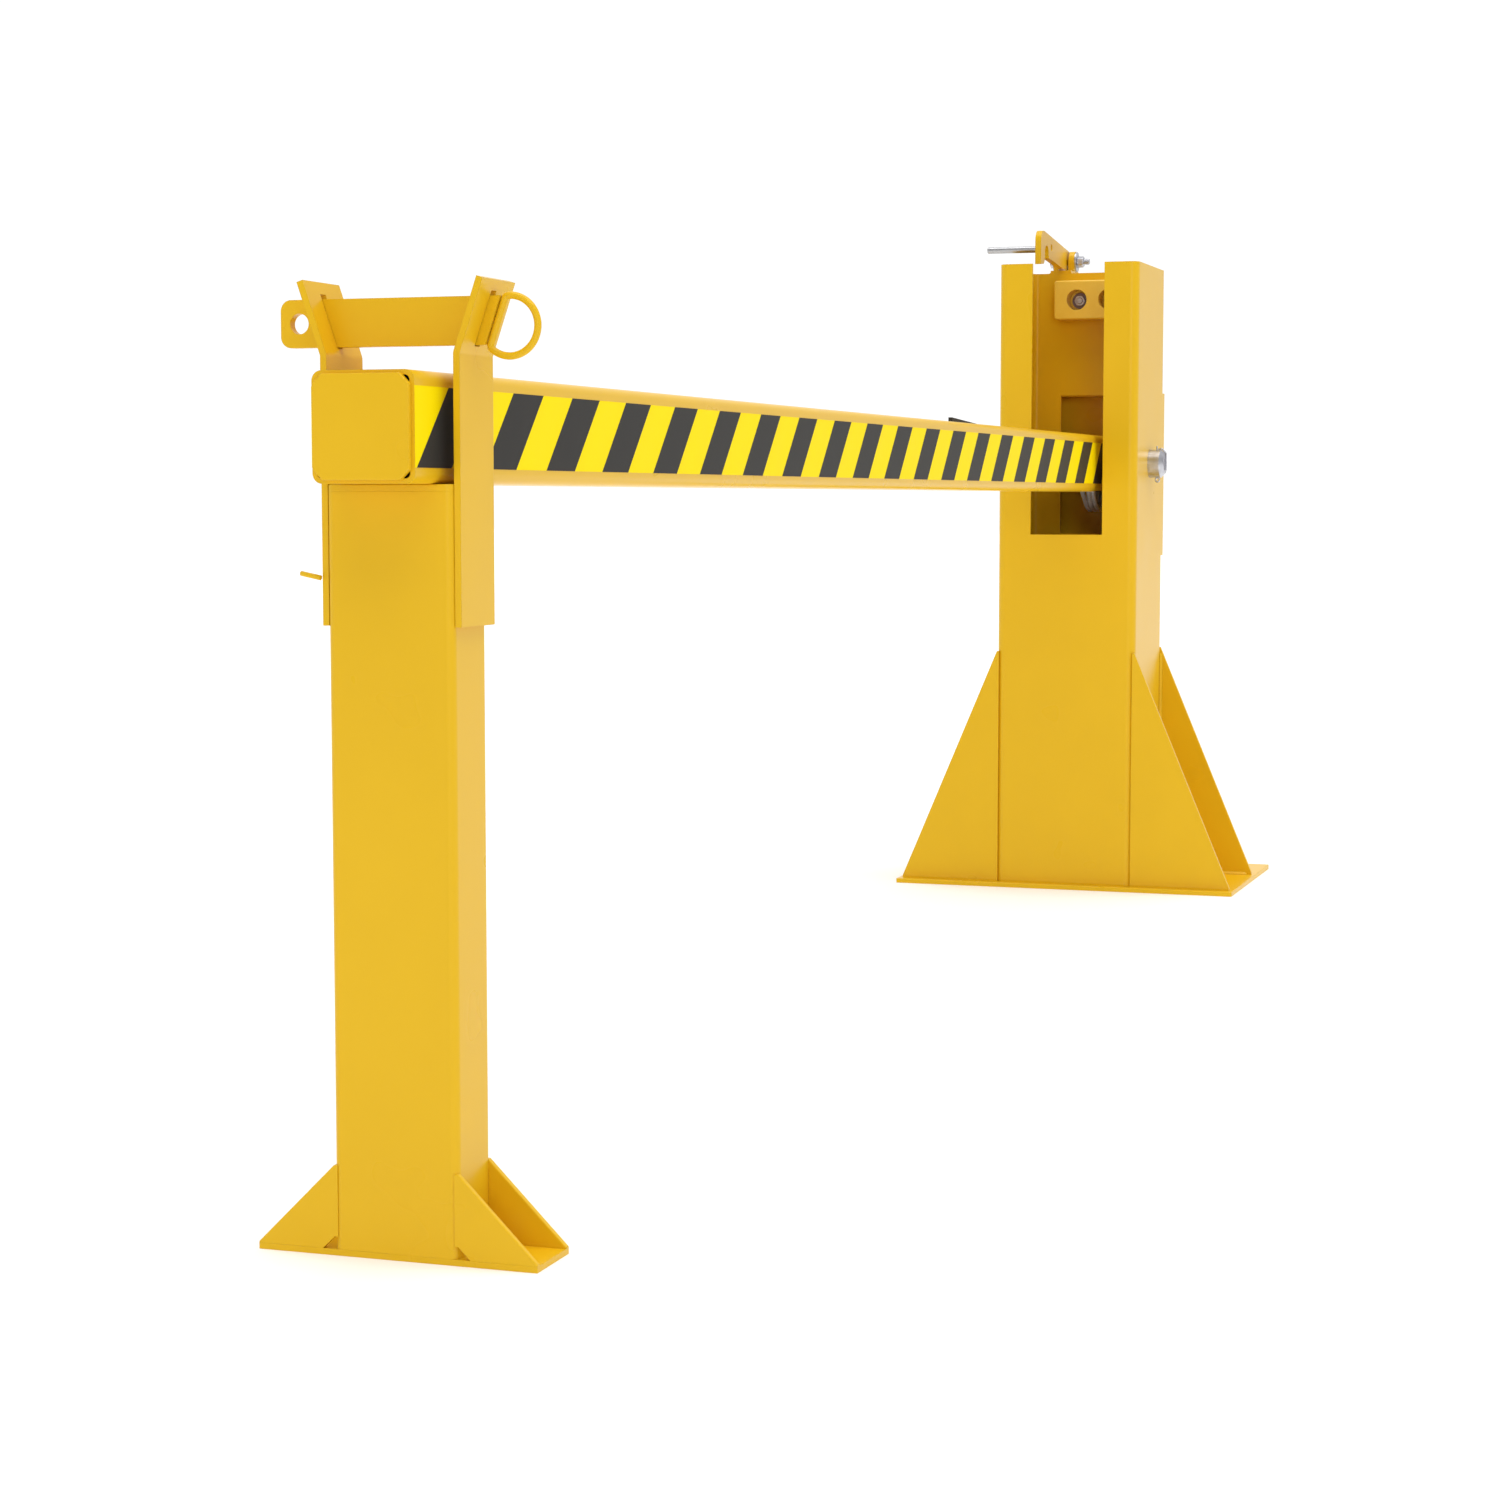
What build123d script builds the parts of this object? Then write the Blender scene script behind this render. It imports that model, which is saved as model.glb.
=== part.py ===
"""Swing-up dock barrier gate: two floor posts, a sprung square beam, a latch bar and a hold-open hook.

Frame: millimetres, +Z up, the floor at z = 0. The origin is the axis of the hinge post at the floor,
+X runs from the latch post to the hinge post, and -Y is the side with the pull ring.
"""
import os
from math import cos, radians, sin, tan

from build123d import *

os.makedirs("parts", exist_ok=True)

# ---------------------------------------------------------------- driving dimensions
Z_PIVOT = 772.0        # height of the beam's pivot axis
BEAM = 101.6           # square beam, 4 in
BEAM_WALL = 4.8
BEAM_R = 9.6
X_NEAR = -2983.0       # free end of the beam's tube
X_TAIL = 143.6         # tail end of the tube, behind the pivot
CAP = 95.2             # square cap plates, set on the tube's two ends
CAP_T = 6.35
CAP_CLIP = 9.5

POST = 254.0           # square hinge post, 10 in
POST_WALL = 6.35
POST_R = 15.9
POST_TOP = 1130.0
SLOT_HALF = 65.8       # half width of the front slot
SLOT_BOTTOM = 643.7
WINDOW_HALF = 67.5     # half width of the rear window
WINDOW_TOP = 902.0
CUT = 60.0             # depth of a cut that goes right through a wall

HB_X0, HB_X1 = -146.0, 285.0   # hinge base plate
HB_Y = 311.0
HB_T = 8.0
HB_CORNER = 4.0
HB_HOLE_XS = (-60.0, 240.0)    # anchor holes
HB_HOLE_Y = 260.0
HB_HOLE_R = 9.0
HG_T = 8.0             # hinge gusset thickness
HG_TOP = 431.0
HG_TOE = 303.0
HG_NOSE = 5.0          # upright edge at a gusset's toe
GUSSET_LAP = 4.0       # how far a gusset laps the post's rounded corner
EDGE = 0.8             # broken edges on plates

LX = -2894.4           # latch post centre
LP_X, LP_Y = 76.2, 127.0
LP_WALL = 6.35
LP_R = 8.0
LP_TOP = 721.1         # top of the cap the beam comes down on
LP_CAP_T = 6.35
LB_Y = 142.5           # half width of the latch base plate
LB_T = 6.0
LB_HOLE_Y = 106.0
LB_HOLE_R = 7.0
LG_T = 6.35
LG_TOP = 86.0
LG_NOSE = 1.5
SNIPE = 12.0           # clipped corner where a gusset passes the post's weld

PLATE_T = 6.35         # latch guide plates
PLATE_X0 = -33.5       # their front and rear edges, from the latch post's centre
PLATE_X1 = 41.5
PLATE_Z0 = 591.0
BEND_Z = 840.0
BEND_DEG = 19.0
BEND_LEN = 72.0
BEND_R = 6.35          # inner radius of the bend
BAR_SLOT_Y = 80.0      # middle of the cut for the bar's slot
BAR_PLAY = 0.75        # play each side of the bar in its slots
BAR_SINK = 1.0         # gap under the bar
BAR_HEAD = 4.5         # gap over the bar

BAR_T = 9.5            # latch bar
BAR_H = 44.5
BAR_Z = 869.7
BAR_Y1 = 124.4         # padlock end
BAR_Y0 = -90.0         # ring end, at the bar's mid height
BAR_CORNER = 10.5
LOCK_Y = 105.2
LOCK_R = 9.5
RING_WIRE = 3.4        # pull ring
RING_HALF = 24.5
RING_BULGE = 40.0
RING_BEND = 7.0
PEG_R = 2.4
PEG_X = -37.5          # storage peg, from the latch post's centre
PEG_Z0, PEG_Z1 = 634.4, 639.3
PEG_LEN = 20.0

TAPE_H = 73.0          # hazard tape on the beam's two side faces
TAPE_T = 0.4
TAPE_END = -40.0      # the near tape runs into the post's slot
TAPE_END_FAR = -420.0  # the far tape stops short of the hold-open stud
STRIPES = 20
STRIPE_T = 0.2
STRIPE_X0 = 3.0        # first stripe from the free end
STRIPE_PITCH = 149.5
STRIPE_W = 74.0
STRIPE_LEAN = 69.0
STRIPES_FAR = 16

WEDGE_X0, WEDGE_X1 = -943.5, -705.0    # rubber wedge on the beam's top
WEDGE_HALF = 3.0
WEDGE_HIGH, WEDGE_LOW = 10.4, 0.5

PIN_R = 25.4           # pivot pin, 2 in
PIN_Y = 155.0
PIN_CHAMFER = 7.5
COTTER_Y = 141.0
COTTER_R = 3.0
COTTER_HOLE_R = 3.2
COTTER_EYE_R = 3.4
COTTER_WIRE_R = 1.9
COTTER_STUB = 7.0      # short leg over the pin
COTTER_OVER = 2.2      # from the pin's surface to the long leg's centre
COTTER_TAIL = 12.0     # how far below the pin's centre the long leg ends
HUB_R = 33.0           # hubs in the beam, on the pin
HUB_SPANS = ((-58.0, -46.0), (-4.0, 58.0))
HUB_PLAY = 0.06
SLEEVE_R = 31.0        # spacer sleeves between the hubs and the post's walls
SLEEVE_Y0 = 58.6

SPRING_R = 57.0        # wire centre radius
SPRING_Z = 745.0       # the coil hangs on the pin, so its centre is lower
WIRE_R = 4.0
SPRING_PITCH = 8.6
SPRING_Y = -17.0       # wire centre at its first pass under the pin
SPRING_LEAD = 33.0     # degrees ahead of the bottom, where the leg leaves the coil
SPRING_TURNS = 2.5
SPRING_LEG = 212.0

BUMP_X = 78.0          # front face of the bumper
BUMP_Y, BUMP_Z0, BUMP_Z1 = 73.0, 1041.5, 1113.5
BUMP_HOLE_Y = 30.0
BUMP_CORNER = 6.0
BUMP_EDGE = 3.0
BORE_R, BORE_DEPTH = 19.0, 36.0
BOLT_R = 6.0           # M12 bolts
BOLT_HOLE_R = 6.5
HEX_R = 9.2            # half the width across flats
HEAD_H = 7.5
NUT_H = 6.5
WASHER_R = 15.0
WASHER_T = 2.5

HOOK_Y0, HOOK_Y1 = 66.0, 77.0
HOOK_X, HOOK_Z = 172.0, 1154.5   # hook pivot
HOOK_R = 19.5
HOOK_BORE_R = 6.06
HOOK_NOSE_R = 20.0
NOTCH_X, NOTCH_Z, NOTCH_R = -13.75, 1156.0, 15.25
HOOK_HOLE_X, HOOK_HOLE_Z, HOOK_HOLE_R = 25.0, 1170.5, 6.4
HANDLE_X, HANDLE_Z, HANDLE_R, HANDLE_END = -50.0, 1161.5, 6.0, 168.0
LUG_T = 11.0
LUG_GAP = 3.0          # from the hook to each ear
WEB_T = 6.0
BRACKET_Z0, BRACKET_Z1 = 1050.0, 1136.0
BRACKET_KNEE_Z = 1095.0
HOOK_BOLT_Y0, HOOK_BOLT_Y1 = 26.5, 93.5
HOOK_NUT_Y, HOOK_NUT_H = 49.5, 12.5
FENDER_R = 18.5
OPEN_DEG = 94.4        # beam's angle when it leans on the bumper
STUD_X, STUD_Z = -12.0, 389.0    # hold-open stud at that angle, from the pivot
STUD_R = 8.0
STUD_Y = 79.0

BOX_D, BOX_W, BOX_WALL = 50.0, 239.0, 5.0    # rear cover box
BOX_Z0, BOX_Z1 = 602.0, 905.0
BOX_R = 6.0

POST_IN = POST / 2 - POST_WALL
BH = BEAM / 2
BEAM_IN = BEAM - 2 * BEAM_WALL
BUMP_Z = (BUMP_Z0 + BUMP_Z1) / 2
WASHER_X = BUMP_X + BORE_DEPTH - WASHER_T


# ---------------------------------------------------------------- hinge post group (fixed)
with BuildPart() as hinge_post:
    with BuildSketch(Plane.XY.offset(HB_T)):
        RectangleRounded(POST, POST, POST_R)
        RectangleRounded(2 * POST_IN, 2 * POST_IN, POST_R - POST_WALL, mode=Mode.SUBTRACT)
    extrude(amount=POST_TOP - HB_T)
    with Locations((-POST / 2, 0, (SLOT_BOTTOM + POST_TOP + CUT) / 2)):
        Box(CUT, 2 * SLOT_HALF, POST_TOP + CUT - SLOT_BOTTOM, mode=Mode.SUBTRACT)
    with Locations((POST / 2, 0, (SLOT_BOTTOM + WINDOW_TOP) / 2)):
        Box(CUT, 2 * WINDOW_HALF, WINDOW_TOP - SLOT_BOTTOM, mode=Mode.SUBTRACT)
    with Locations(Location((0, 0, Z_PIVOT), (90, 0, 0))):
        Cylinder(PIN_R, POST + CUT, mode=Mode.SUBTRACT)
    for y in (-BUMP_HOLE_Y, BUMP_HOLE_Y):
        with Locations(Location((POST / 2, y, BUMP_Z), (0, 90, 0))):
            Cylinder(BOLT_HOLE_R, CUT, mode=Mode.SUBTRACT)
hinge_post.part.label = "hinge_post"
export_step(hinge_post.part, "parts/hinge_post.step")

with BuildPart() as hinge_base_plate:
    with Locations(((HB_X0 + HB_X1) / 2, 0, HB_T / 2)):
        Box(HB_X1 - HB_X0, 2 * HB_Y, HB_T)
    fillet(hinge_base_plate.edges().filter_by(Axis.Z), HB_CORNER)
    chamfer(hinge_base_plate.faces().sort_by(Axis.Z)[-1].edges(), EDGE)
    for x in HB_HOLE_XS:
        for y in (-HB_HOLE_Y, HB_HOLE_Y):
            with Locations((x, y, HB_T / 2)):
                Cylinder(HB_HOLE_R, CUT, mode=Mode.SUBTRACT)
hinge_base_plate.part.label = "hinge_base_plate"
export_step(hinge_base_plate.part, "parts/hinge_base_plate.step")

with BuildPart() as hinge_gussets:
    for x in (-POST / 2, POST / 2 - HG_T):
        with BuildSketch(Plane.YZ.offset(x)):
            for side in (-1, 1):
                with BuildLine():
                    Polyline(
                        (side * (POST / 2 - GUSSET_LAP), HB_T),
                        (side * HG_TOE, HB_T),
                        (side * HG_TOE, HB_T + HG_NOSE),
                        (side * POST / 2, HG_TOP),
                        (side * (POST / 2 - GUSSET_LAP), HG_TOP),
                        close=True,
                    )
                make_face()
        extrude(amount=HG_T)
    slopes = hinge_gussets.faces().filter_by(lambda f: 0.1 < f.normal_at().Z < 0.9)
    chamfer(slopes.edges().filter_by(lambda e: abs(e.tangent_at(0).X) < 0.1), EDGE)
    with BuildSketch(Plane.XY):
        RectangleRounded(POST, POST, POST_R)
    extrude(amount=HG_TOP + CUT, mode=Mode.SUBTRACT)
hinge_gussets.part.label = "hinge_gussets"
export_step(hinge_gussets.part, "parts/hinge_gussets.step")

with BuildPart() as rear_cover_box:
    with Locations((POST / 2 + BOX_D / 2, 0, (BOX_Z0 + BOX_Z1) / 2)):
        Box(BOX_D, BOX_W, BOX_Z1 - BOX_Z0)
    fillet(rear_cover_box.edges().filter_by(Axis.Z).sort_by(Axis.X)[-2:], BOX_R)
    with Locations((POST / 2 - BOX_WALL + BOX_D / 2, 0, (BOX_Z0 + BOX_Z1) / 2)):
        Box(BOX_D, BOX_W - 2 * BOX_WALL, BOX_Z1 - BOX_Z0 - 2 * BOX_WALL, mode=Mode.SUBTRACT)
rear_cover_box.part.label = "rear_cover_box"
export_step(rear_cover_box.part, "parts/rear_cover_box.step")

with BuildPart() as bumper_block:
    with Locations(((BUMP_X + POST_IN) / 2, 0, BUMP_Z)):
        Box(POST_IN - BUMP_X, 2 * BUMP_Y, BUMP_Z1 - BUMP_Z0)
    fillet(bumper_block.edges().filter_by(Axis.X), BUMP_CORNER)
    fillet(bumper_block.faces().sort_by(Axis.X)[0].edges(), BUMP_EDGE)
    for y in (-BUMP_HOLE_Y, BUMP_HOLE_Y):
        with Locations(Location((BUMP_X, y, BUMP_Z), (0, 90, 0))):
            Cylinder(BORE_R, 2 * BORE_DEPTH, mode=Mode.SUBTRACT)
            Cylinder(BOLT_HOLE_R, 2 * POST, mode=Mode.SUBTRACT)
bumper_block.part.label = "bumper_block"
export_step(bumper_block.part, "parts/bumper_block.step")

with BuildPart() as bumper_bolts:
    for y in (-BUMP_HOLE_Y, BUMP_HOLE_Y):
        with BuildSketch(Plane.YZ.offset(WASHER_X - NUT_H - WASHER_T)):
            with Locations((y, BUMP_Z)):
                Circle(BOLT_R)
        extrude(amount=POST / 2 - WASHER_X + NUT_H + WASHER_T)
        with BuildSketch(Plane.YZ.offset(POST / 2)):
            with Locations((y, BUMP_Z)):
                RegularPolygon(HEX_R, 6, major_radius=False)
        extrude(amount=HEAD_H)
bumper_bolts.part.label = "bumper_bolts"
export_step(bumper_bolts.part, "parts/bumper_bolts.step")

with BuildPart() as bumper_washers:
    for y in (-BUMP_HOLE_Y, BUMP_HOLE_Y):
        with BuildSketch(Plane.YZ.offset(WASHER_X)):
            with Locations((y, BUMP_Z)):
                Circle(WASHER_R)
                Circle(BOLT_R, mode=Mode.SUBTRACT)
        extrude(amount=WASHER_T)
bumper_washers.part.label = "bumper_washers"
export_step(bumper_washers.part, "parts/bumper_washers.step")

with BuildPart() as bumper_nuts:
    for y in (-BUMP_HOLE_Y, BUMP_HOLE_Y):
        with BuildSketch(Plane.YZ.offset(WASHER_X - NUT_H)):
            with Locations((y, BUMP_Z)):
                RegularPolygon(HEX_R, 6, major_radius=False)
                Circle(BOLT_R, mode=Mode.SUBTRACT)
        extrude(amount=NUT_H)
bumper_nuts.part.label = "bumper_nuts"
export_step(bumper_nuts.part, "parts/bumper_nuts.step")

with BuildPart() as pivot_pin:
    with Locations(Location((0, 0, Z_PIVOT), (90, 0, 0))):
        Cylinder(PIN_R, 2 * PIN_Y)
    chamfer(pivot_pin.edges().filter_by(GeomType.CIRCLE), PIN_CHAMFER)
    for y in (-COTTER_Y, COTTER_Y):
        with Locations((0, y, Z_PIVOT)):
            Cylinder(COTTER_HOLE_R, CUT, mode=Mode.SUBTRACT)
pivot_pin.part.label = "pivot_pin"
export_step(pivot_pin.part, "parts/pivot_pin.step")

with BuildPart() as pin_cotters:
    for side in (-1, 1):
        y = side * COTTER_Y
        over = side * (PIN_Y + COTTER_OVER)
        top = Z_PIVOT + PIN_R + COTTER_OVER - 0.3
        bends = (
            (0, y, top),
            (0, side * (PIN_Y - PIN_CHAMFER + 1), top),
            (0, over, Z_PIVOT + PIN_R - PIN_CHAMFER + 1),
            (0, over, Z_PIVOT - COTTER_TAIL),
        )
        with Locations((0, y, Z_PIVOT + (COTTER_STUB - 1) / 2)):
            Cylinder(COTTER_R, 2 * PIN_R + 1 + COTTER_STUB)
        with Locations(Location((0, y, Z_PIVOT - PIN_R - COTTER_EYE_R - 0.8), (0, 90, 0))):
            Torus(COTTER_EYE_R, COTTER_WIRE_R)
        for low, high in zip(bends, bends[1:]):
            with BuildLine() as leg:
                Line(low, high)
            with BuildSketch(Plane(leg.line @ 0, z_dir=leg.line % 0)):
                Circle(COTTER_WIRE_R)
            sweep(path=leg.line)
        with Locations(*bends[1:-1]):
            Sphere(COTTER_WIRE_R)
pin_cotters.part.label = "pin_cotters"
export_step(pin_cotters.part, "parts/pin_cotters.step")

with BuildPart() as spacer_sleeves:
    for side in (-1, 1):
        with Locations(Location((0, side * (SLEEVE_Y0 + POST_IN) / 2, Z_PIVOT), (90, 0, 0))):
            Cylinder(SLEEVE_R, POST_IN - SLEEVE_Y0)
            Cylinder(PIN_R, POST_IN, mode=Mode.SUBTRACT)
spacer_sleeves.part.label = "spacer_sleeves"
export_step(spacer_sleeves.part, "parts/spacer_sleeves.step")

# hook bracket: two ears and a web, welded to the back of the hinge post
HOOK_Y = (HOOK_Y0 + HOOK_Y1) / 2
with BuildPart() as hook_bracket:
    with Locations((POST / 2 + WEB_T / 2, HOOK_Y, (BRACKET_Z0 + BRACKET_Z1) / 2)):
        Box(WEB_T, HOOK_Y1 - HOOK_Y0 + 2 * (LUG_GAP + LUG_T), BRACKET_Z1 - BRACKET_Z0)
    for y in (HOOK_Y0 - LUG_GAP, HOOK_Y1 + LUG_GAP + LUG_T):
        with BuildSketch(Plane.XZ.offset(-y)):
            with Locations((HOOK_X, HOOK_Z)):
                Circle(HOOK_R)
            with BuildLine():
                Polyline(
                    (POST / 2, BRACKET_Z0),
                    (HOOK_X - HOOK_R / 2, BRACKET_Z0),
                    (HOOK_X + HOOK_R, BRACKET_KNEE_Z),
                    (HOOK_X + HOOK_R, HOOK_Z),
                    (HOOK_X - HOOK_R, HOOK_Z),
                    (HOOK_X - HOOK_R, BRACKET_Z1),
                    (POST / 2, BRACKET_Z1),
                    close=True,
                )
            make_face()
        extrude(amount=LUG_T)
    with Locations(Location((HOOK_X, HOOK_Y, HOOK_Z), (90, 0, 0))):
        Cylinder(BOLT_R, 2 * CUT, mode=Mode.SUBTRACT)
hook_bracket.part.label = "hook_bracket"
export_step(hook_bracket.part, "parts/hook_bracket.step")

with BuildPart() as hook_bolt:
    with Locations(Location((HOOK_X, (HOOK_BOLT_Y0 + HOOK_BOLT_Y1) / 2, HOOK_Z), (90, 0, 0))):
        Cylinder(BOLT_R, HOOK_BOLT_Y1 - HOOK_BOLT_Y0)
    chamfer(hook_bolt.edges().filter_by(GeomType.CIRCLE).sort_by(Axis.Y)[0], BOLT_R / 5)
    with BuildSketch(Plane.XZ.offset(-HOOK_BOLT_Y1)):
        with Locations((HOOK_X, HOOK_Z)):
            RegularPolygon(HEX_R, 6, major_radius=False)
    extrude(amount=-HEAD_H)
hook_bolt.part.label = "hook_bolt"
export_step(hook_bolt.part, "parts/hook_bolt.step")

with BuildPart() as hook_nut:
    with BuildSketch(Plane.XZ.offset(-HOOK_NUT_Y)):
        with Locations((HOOK_X, HOOK_Z)):
            RegularPolygon(HEX_R, 6, major_radius=False)
            Circle(BOLT_R, mode=Mode.SUBTRACT)
    extrude(amount=HOOK_NUT_H)
hook_nut.part.label = "hook_nut"
export_step(hook_nut.part, "parts/hook_nut.step")

with BuildPart() as hook_washers:
    for y in (HOOK_NUT_Y + WASHER_T, HOOK_BOLT_Y1):
        with BuildSketch(Plane.XZ.offset(-y)):
            with Locations((HOOK_X, HOOK_Z)):
                Circle(FENDER_R)
                Circle(BOLT_R, mode=Mode.SUBTRACT)
        extrude(amount=WASHER_T)
hook_washers.part.label = "hook_washers"
export_step(hook_washers.part, "parts/hook_washers.step")

# ---------------------------------------------------------------- latch post group (fixed)
with BuildPart() as latch_post:
    with BuildSketch(Plane.XY.offset(LB_T)):
        with Locations((LX, 0)):
            RectangleRounded(LP_X, LP_Y, LP_R)
            RectangleRounded(LP_X - 2 * LP_WALL, LP_Y - 2 * LP_WALL, LP_R - LP_WALL, mode=Mode.SUBTRACT)
    extrude(amount=LP_TOP - LP_CAP_T - LB_T)
latch_post.part.label = "latch_post"
export_step(latch_post.part, "parts/latch_post.step")

with BuildPart() as latch_post_cap:
    with BuildSketch(Plane.XY.offset(LP_TOP - LP_CAP_T)):
        with Locations((LX, 0)):
            RectangleRounded(LP_X, LP_Y, LP_R)
    extrude(amount=LP_CAP_T)
    chamfer(latch_post_cap.faces().sort_by(Axis.Z)[-1].edges(), EDGE)
latch_post_cap.part.label = "latch_post_cap"
export_step(latch_post_cap.part, "parts/latch_post_cap.step")

with BuildPart() as latch_base_plate:
    with Locations((LX, 0, LB_T / 2)):
        Box(LP_X, 2 * LB_Y, LB_T)
    for y in (-LB_HOLE_Y, LB_HOLE_Y):
        with Locations((LX, y, LB_T / 2)):
            Cylinder(LB_HOLE_R, CUT, mode=Mode.SUBTRACT)
latch_base_plate.part.label = "latch_base_plate"
export_step(latch_base_plate.part, "parts/latch_base_plate.step")

with BuildPart() as latch_gussets:
    for x in (LX - LP_X / 2, LX + LP_X / 2 - LG_T):
        with BuildSketch(Plane.YZ.offset(x)):
            for side in (-1, 1):
                with BuildLine():
                    Polyline(
                        (side * (LP_Y / 2 + SNIPE), LB_T),
                        (side * LB_Y, LB_T),
                        (side * LB_Y, LB_T + LG_NOSE),
                        (side * LP_Y / 2, LG_TOP),
                        (side * (LP_Y / 2 - GUSSET_LAP), LG_TOP),
                        (side * (LP_Y / 2 - GUSSET_LAP), LB_T + SNIPE),
                        (side * LP_Y / 2, LB_T + SNIPE),
                        close=True,
                    )
                make_face()
        extrude(amount=LG_T)
    slopes = latch_gussets.faces().filter_by(lambda f: 0.1 < f.normal_at().Z < 0.9)
    chamfer(slopes.edges().filter_by(lambda e: abs(e.tangent_at(0).X) < 0.1), EDGE)
    with BuildSketch(Plane.XY):
        with Locations((LX, 0)):
            RectangleRounded(LP_X, LP_Y, LP_R)
    extrude(amount=LG_TOP + CUT, mode=Mode.SUBTRACT)
latch_gussets.part.label = "latch_gussets"
export_step(latch_gussets.part, "parts/latch_gussets.step")


def guide_profile(side):
    """Corner points, in (y, z), of a guide plate bent outwards above the beam."""
    a = radians(BEND_DEG)
    y0 = LP_Y / 2
    y1 = y0 + PLATE_T
    top_y = y0 + BEND_LEN * sin(a)
    top_z = BEND_Z + BEND_LEN * cos(a)
    pts = [
        (y0, PLATE_Z0),
        (y1, PLATE_Z0),
        (y1, BEND_Z - PLATE_T * tan(a / 2)),
        (top_y + PLATE_T * cos(a), top_z - PLATE_T * sin(a)),
        (top_y, top_z),
        (y0, BEND_Z),
    ]
    return [(side * y, z) for y, z in pts]


def from_bend(edge):
    return abs(edge.center().Z - BEND_Z)


with BuildPart() as guide_plate_near:
    with BuildSketch(Plane.YZ.offset(LX + PLATE_X0)):
        with BuildLine():
            Polyline(*guide_profile(-1), close=True)
        make_face()
    extrude(amount=PLATE_X1 - PLATE_X0)
    fillet(guide_plate_near.edges().filter_by(Axis.X).sort_by(from_bend)[0], BEND_R + PLATE_T)
    fillet(guide_plate_near.edges().filter_by(Axis.X).sort_by(from_bend)[0], BEND_R)
    with Locations((LX, -BAR_SLOT_Y, BAR_Z + (BAR_HEAD - BAR_SINK) / 2)):
        Box(BAR_T + 2 * BAR_PLAY, CUT, BAR_H + BAR_HEAD + BAR_SINK, mode=Mode.SUBTRACT)
guide_plate_near.part.label = "guide_plate_near"
export_step(guide_plate_near.part, "parts/guide_plate_near.step")

with BuildPart() as guide_plate_far:
    with BuildSketch(Plane.YZ.offset(LX + PLATE_X0)):
        with BuildLine():
            Polyline(*guide_profile(1), close=True)
        make_face()
    extrude(amount=PLATE_X1 - PLATE_X0)
    fillet(guide_plate_far.edges().filter_by(Axis.X).sort_by(from_bend)[0], BEND_R + PLATE_T)
    fillet(guide_plate_far.edges().filter_by(Axis.X).sort_by(from_bend)[0], BEND_R)
    with Locations((LX, BAR_SLOT_Y, BAR_Z + (BAR_HEAD - BAR_SINK) / 2)):
        Box(BAR_T + 2 * BAR_PLAY, CUT, BAR_H + BAR_HEAD + BAR_SINK, mode=Mode.SUBTRACT)
guide_plate_far.part.label = "guide_plate_far"
export_step(guide_plate_far.part, "parts/guide_plate_far.step")

with BuildPart() as storage_peg:
    peg_y = LP_Y / 2 + PLATE_T
    with BuildLine() as peg_line:
        Line((LX + PEG_X, peg_y - PEG_R, PEG_Z0), (LX + PEG_X, peg_y + PEG_LEN, PEG_Z1))
    with BuildSketch(Plane(peg_line.line @ 0, z_dir=peg_line.line % 0)):
        Circle(PEG_R)
    sweep(path=peg_line.line)
    with Locations((LX + PEG_X, peg_y - CUT / 2, PEG_Z0)):
        Box(CUT, CUT, CUT, mode=Mode.SUBTRACT)
storage_peg.part.label = "storage_peg"
export_step(storage_peg.part, "parts/storage_peg.step")

# ---------------------------------------------------------------- latch bar group (slides along Y)
with BuildPart() as latch_bar:
    lean = tan(radians(BEND_DEG))
    with BuildSketch(Plane.YZ.offset(LX - BAR_T / 2)):
        with BuildLine():
            Polyline(
                (BAR_Y0 + lean * BAR_H / 2, BAR_Z - BAR_H / 2),
                (BAR_Y1, BAR_Z - BAR_H / 2),
                (BAR_Y1, BAR_Z + BAR_H / 2),
                (BAR_Y0 - lean * BAR_H / 2, BAR_Z + BAR_H / 2),
                close=True,
            )
        make_face()
    extrude(amount=BAR_T)
    fillet(latch_bar.edges().filter_by(Axis.X).sort_by(Axis.Y)[-2:], BAR_CORNER)
    with Locations(Location((LX, LOCK_Y, BAR_Z), (0, 90, 0))):
        Cylinder(LOCK_R, CUT, mode=Mode.SUBTRACT)
latch_bar.part.label = "latch_bar"
export_step(latch_bar.part, "parts/latch_bar.step")

with BuildPart() as pull_ring:
    a = radians(BEND_DEG)
    mid_y, mid_z = BAR_Y0 - (RING_WIRE + 0.2) / cos(a), BAR_Z - 1.0
    top = (mid_y - RING_HALF * sin(a), mid_z + RING_HALF * cos(a))
    low = (mid_y + RING_HALF * sin(a), mid_z - RING_HALF * cos(a))
    out = (mid_y - RING_BULGE * cos(a), mid_z - RING_BULGE * sin(a))
    with BuildLine(Plane.YZ.offset(LX)) as ring_path:
        ThreePointArc(top, out, low)
        Line(low, top)
        fillet(ring_path.vertices(), RING_BEND)
    ring = ring_path.wire()
    with BuildSketch(Plane(ring @ 0, z_dir=ring % 0)):
        Circle(RING_WIRE)
    sweep(path=ring)
pull_ring.part.label = "pull_ring"
export_step(pull_ring.part, "parts/pull_ring.step")

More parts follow.
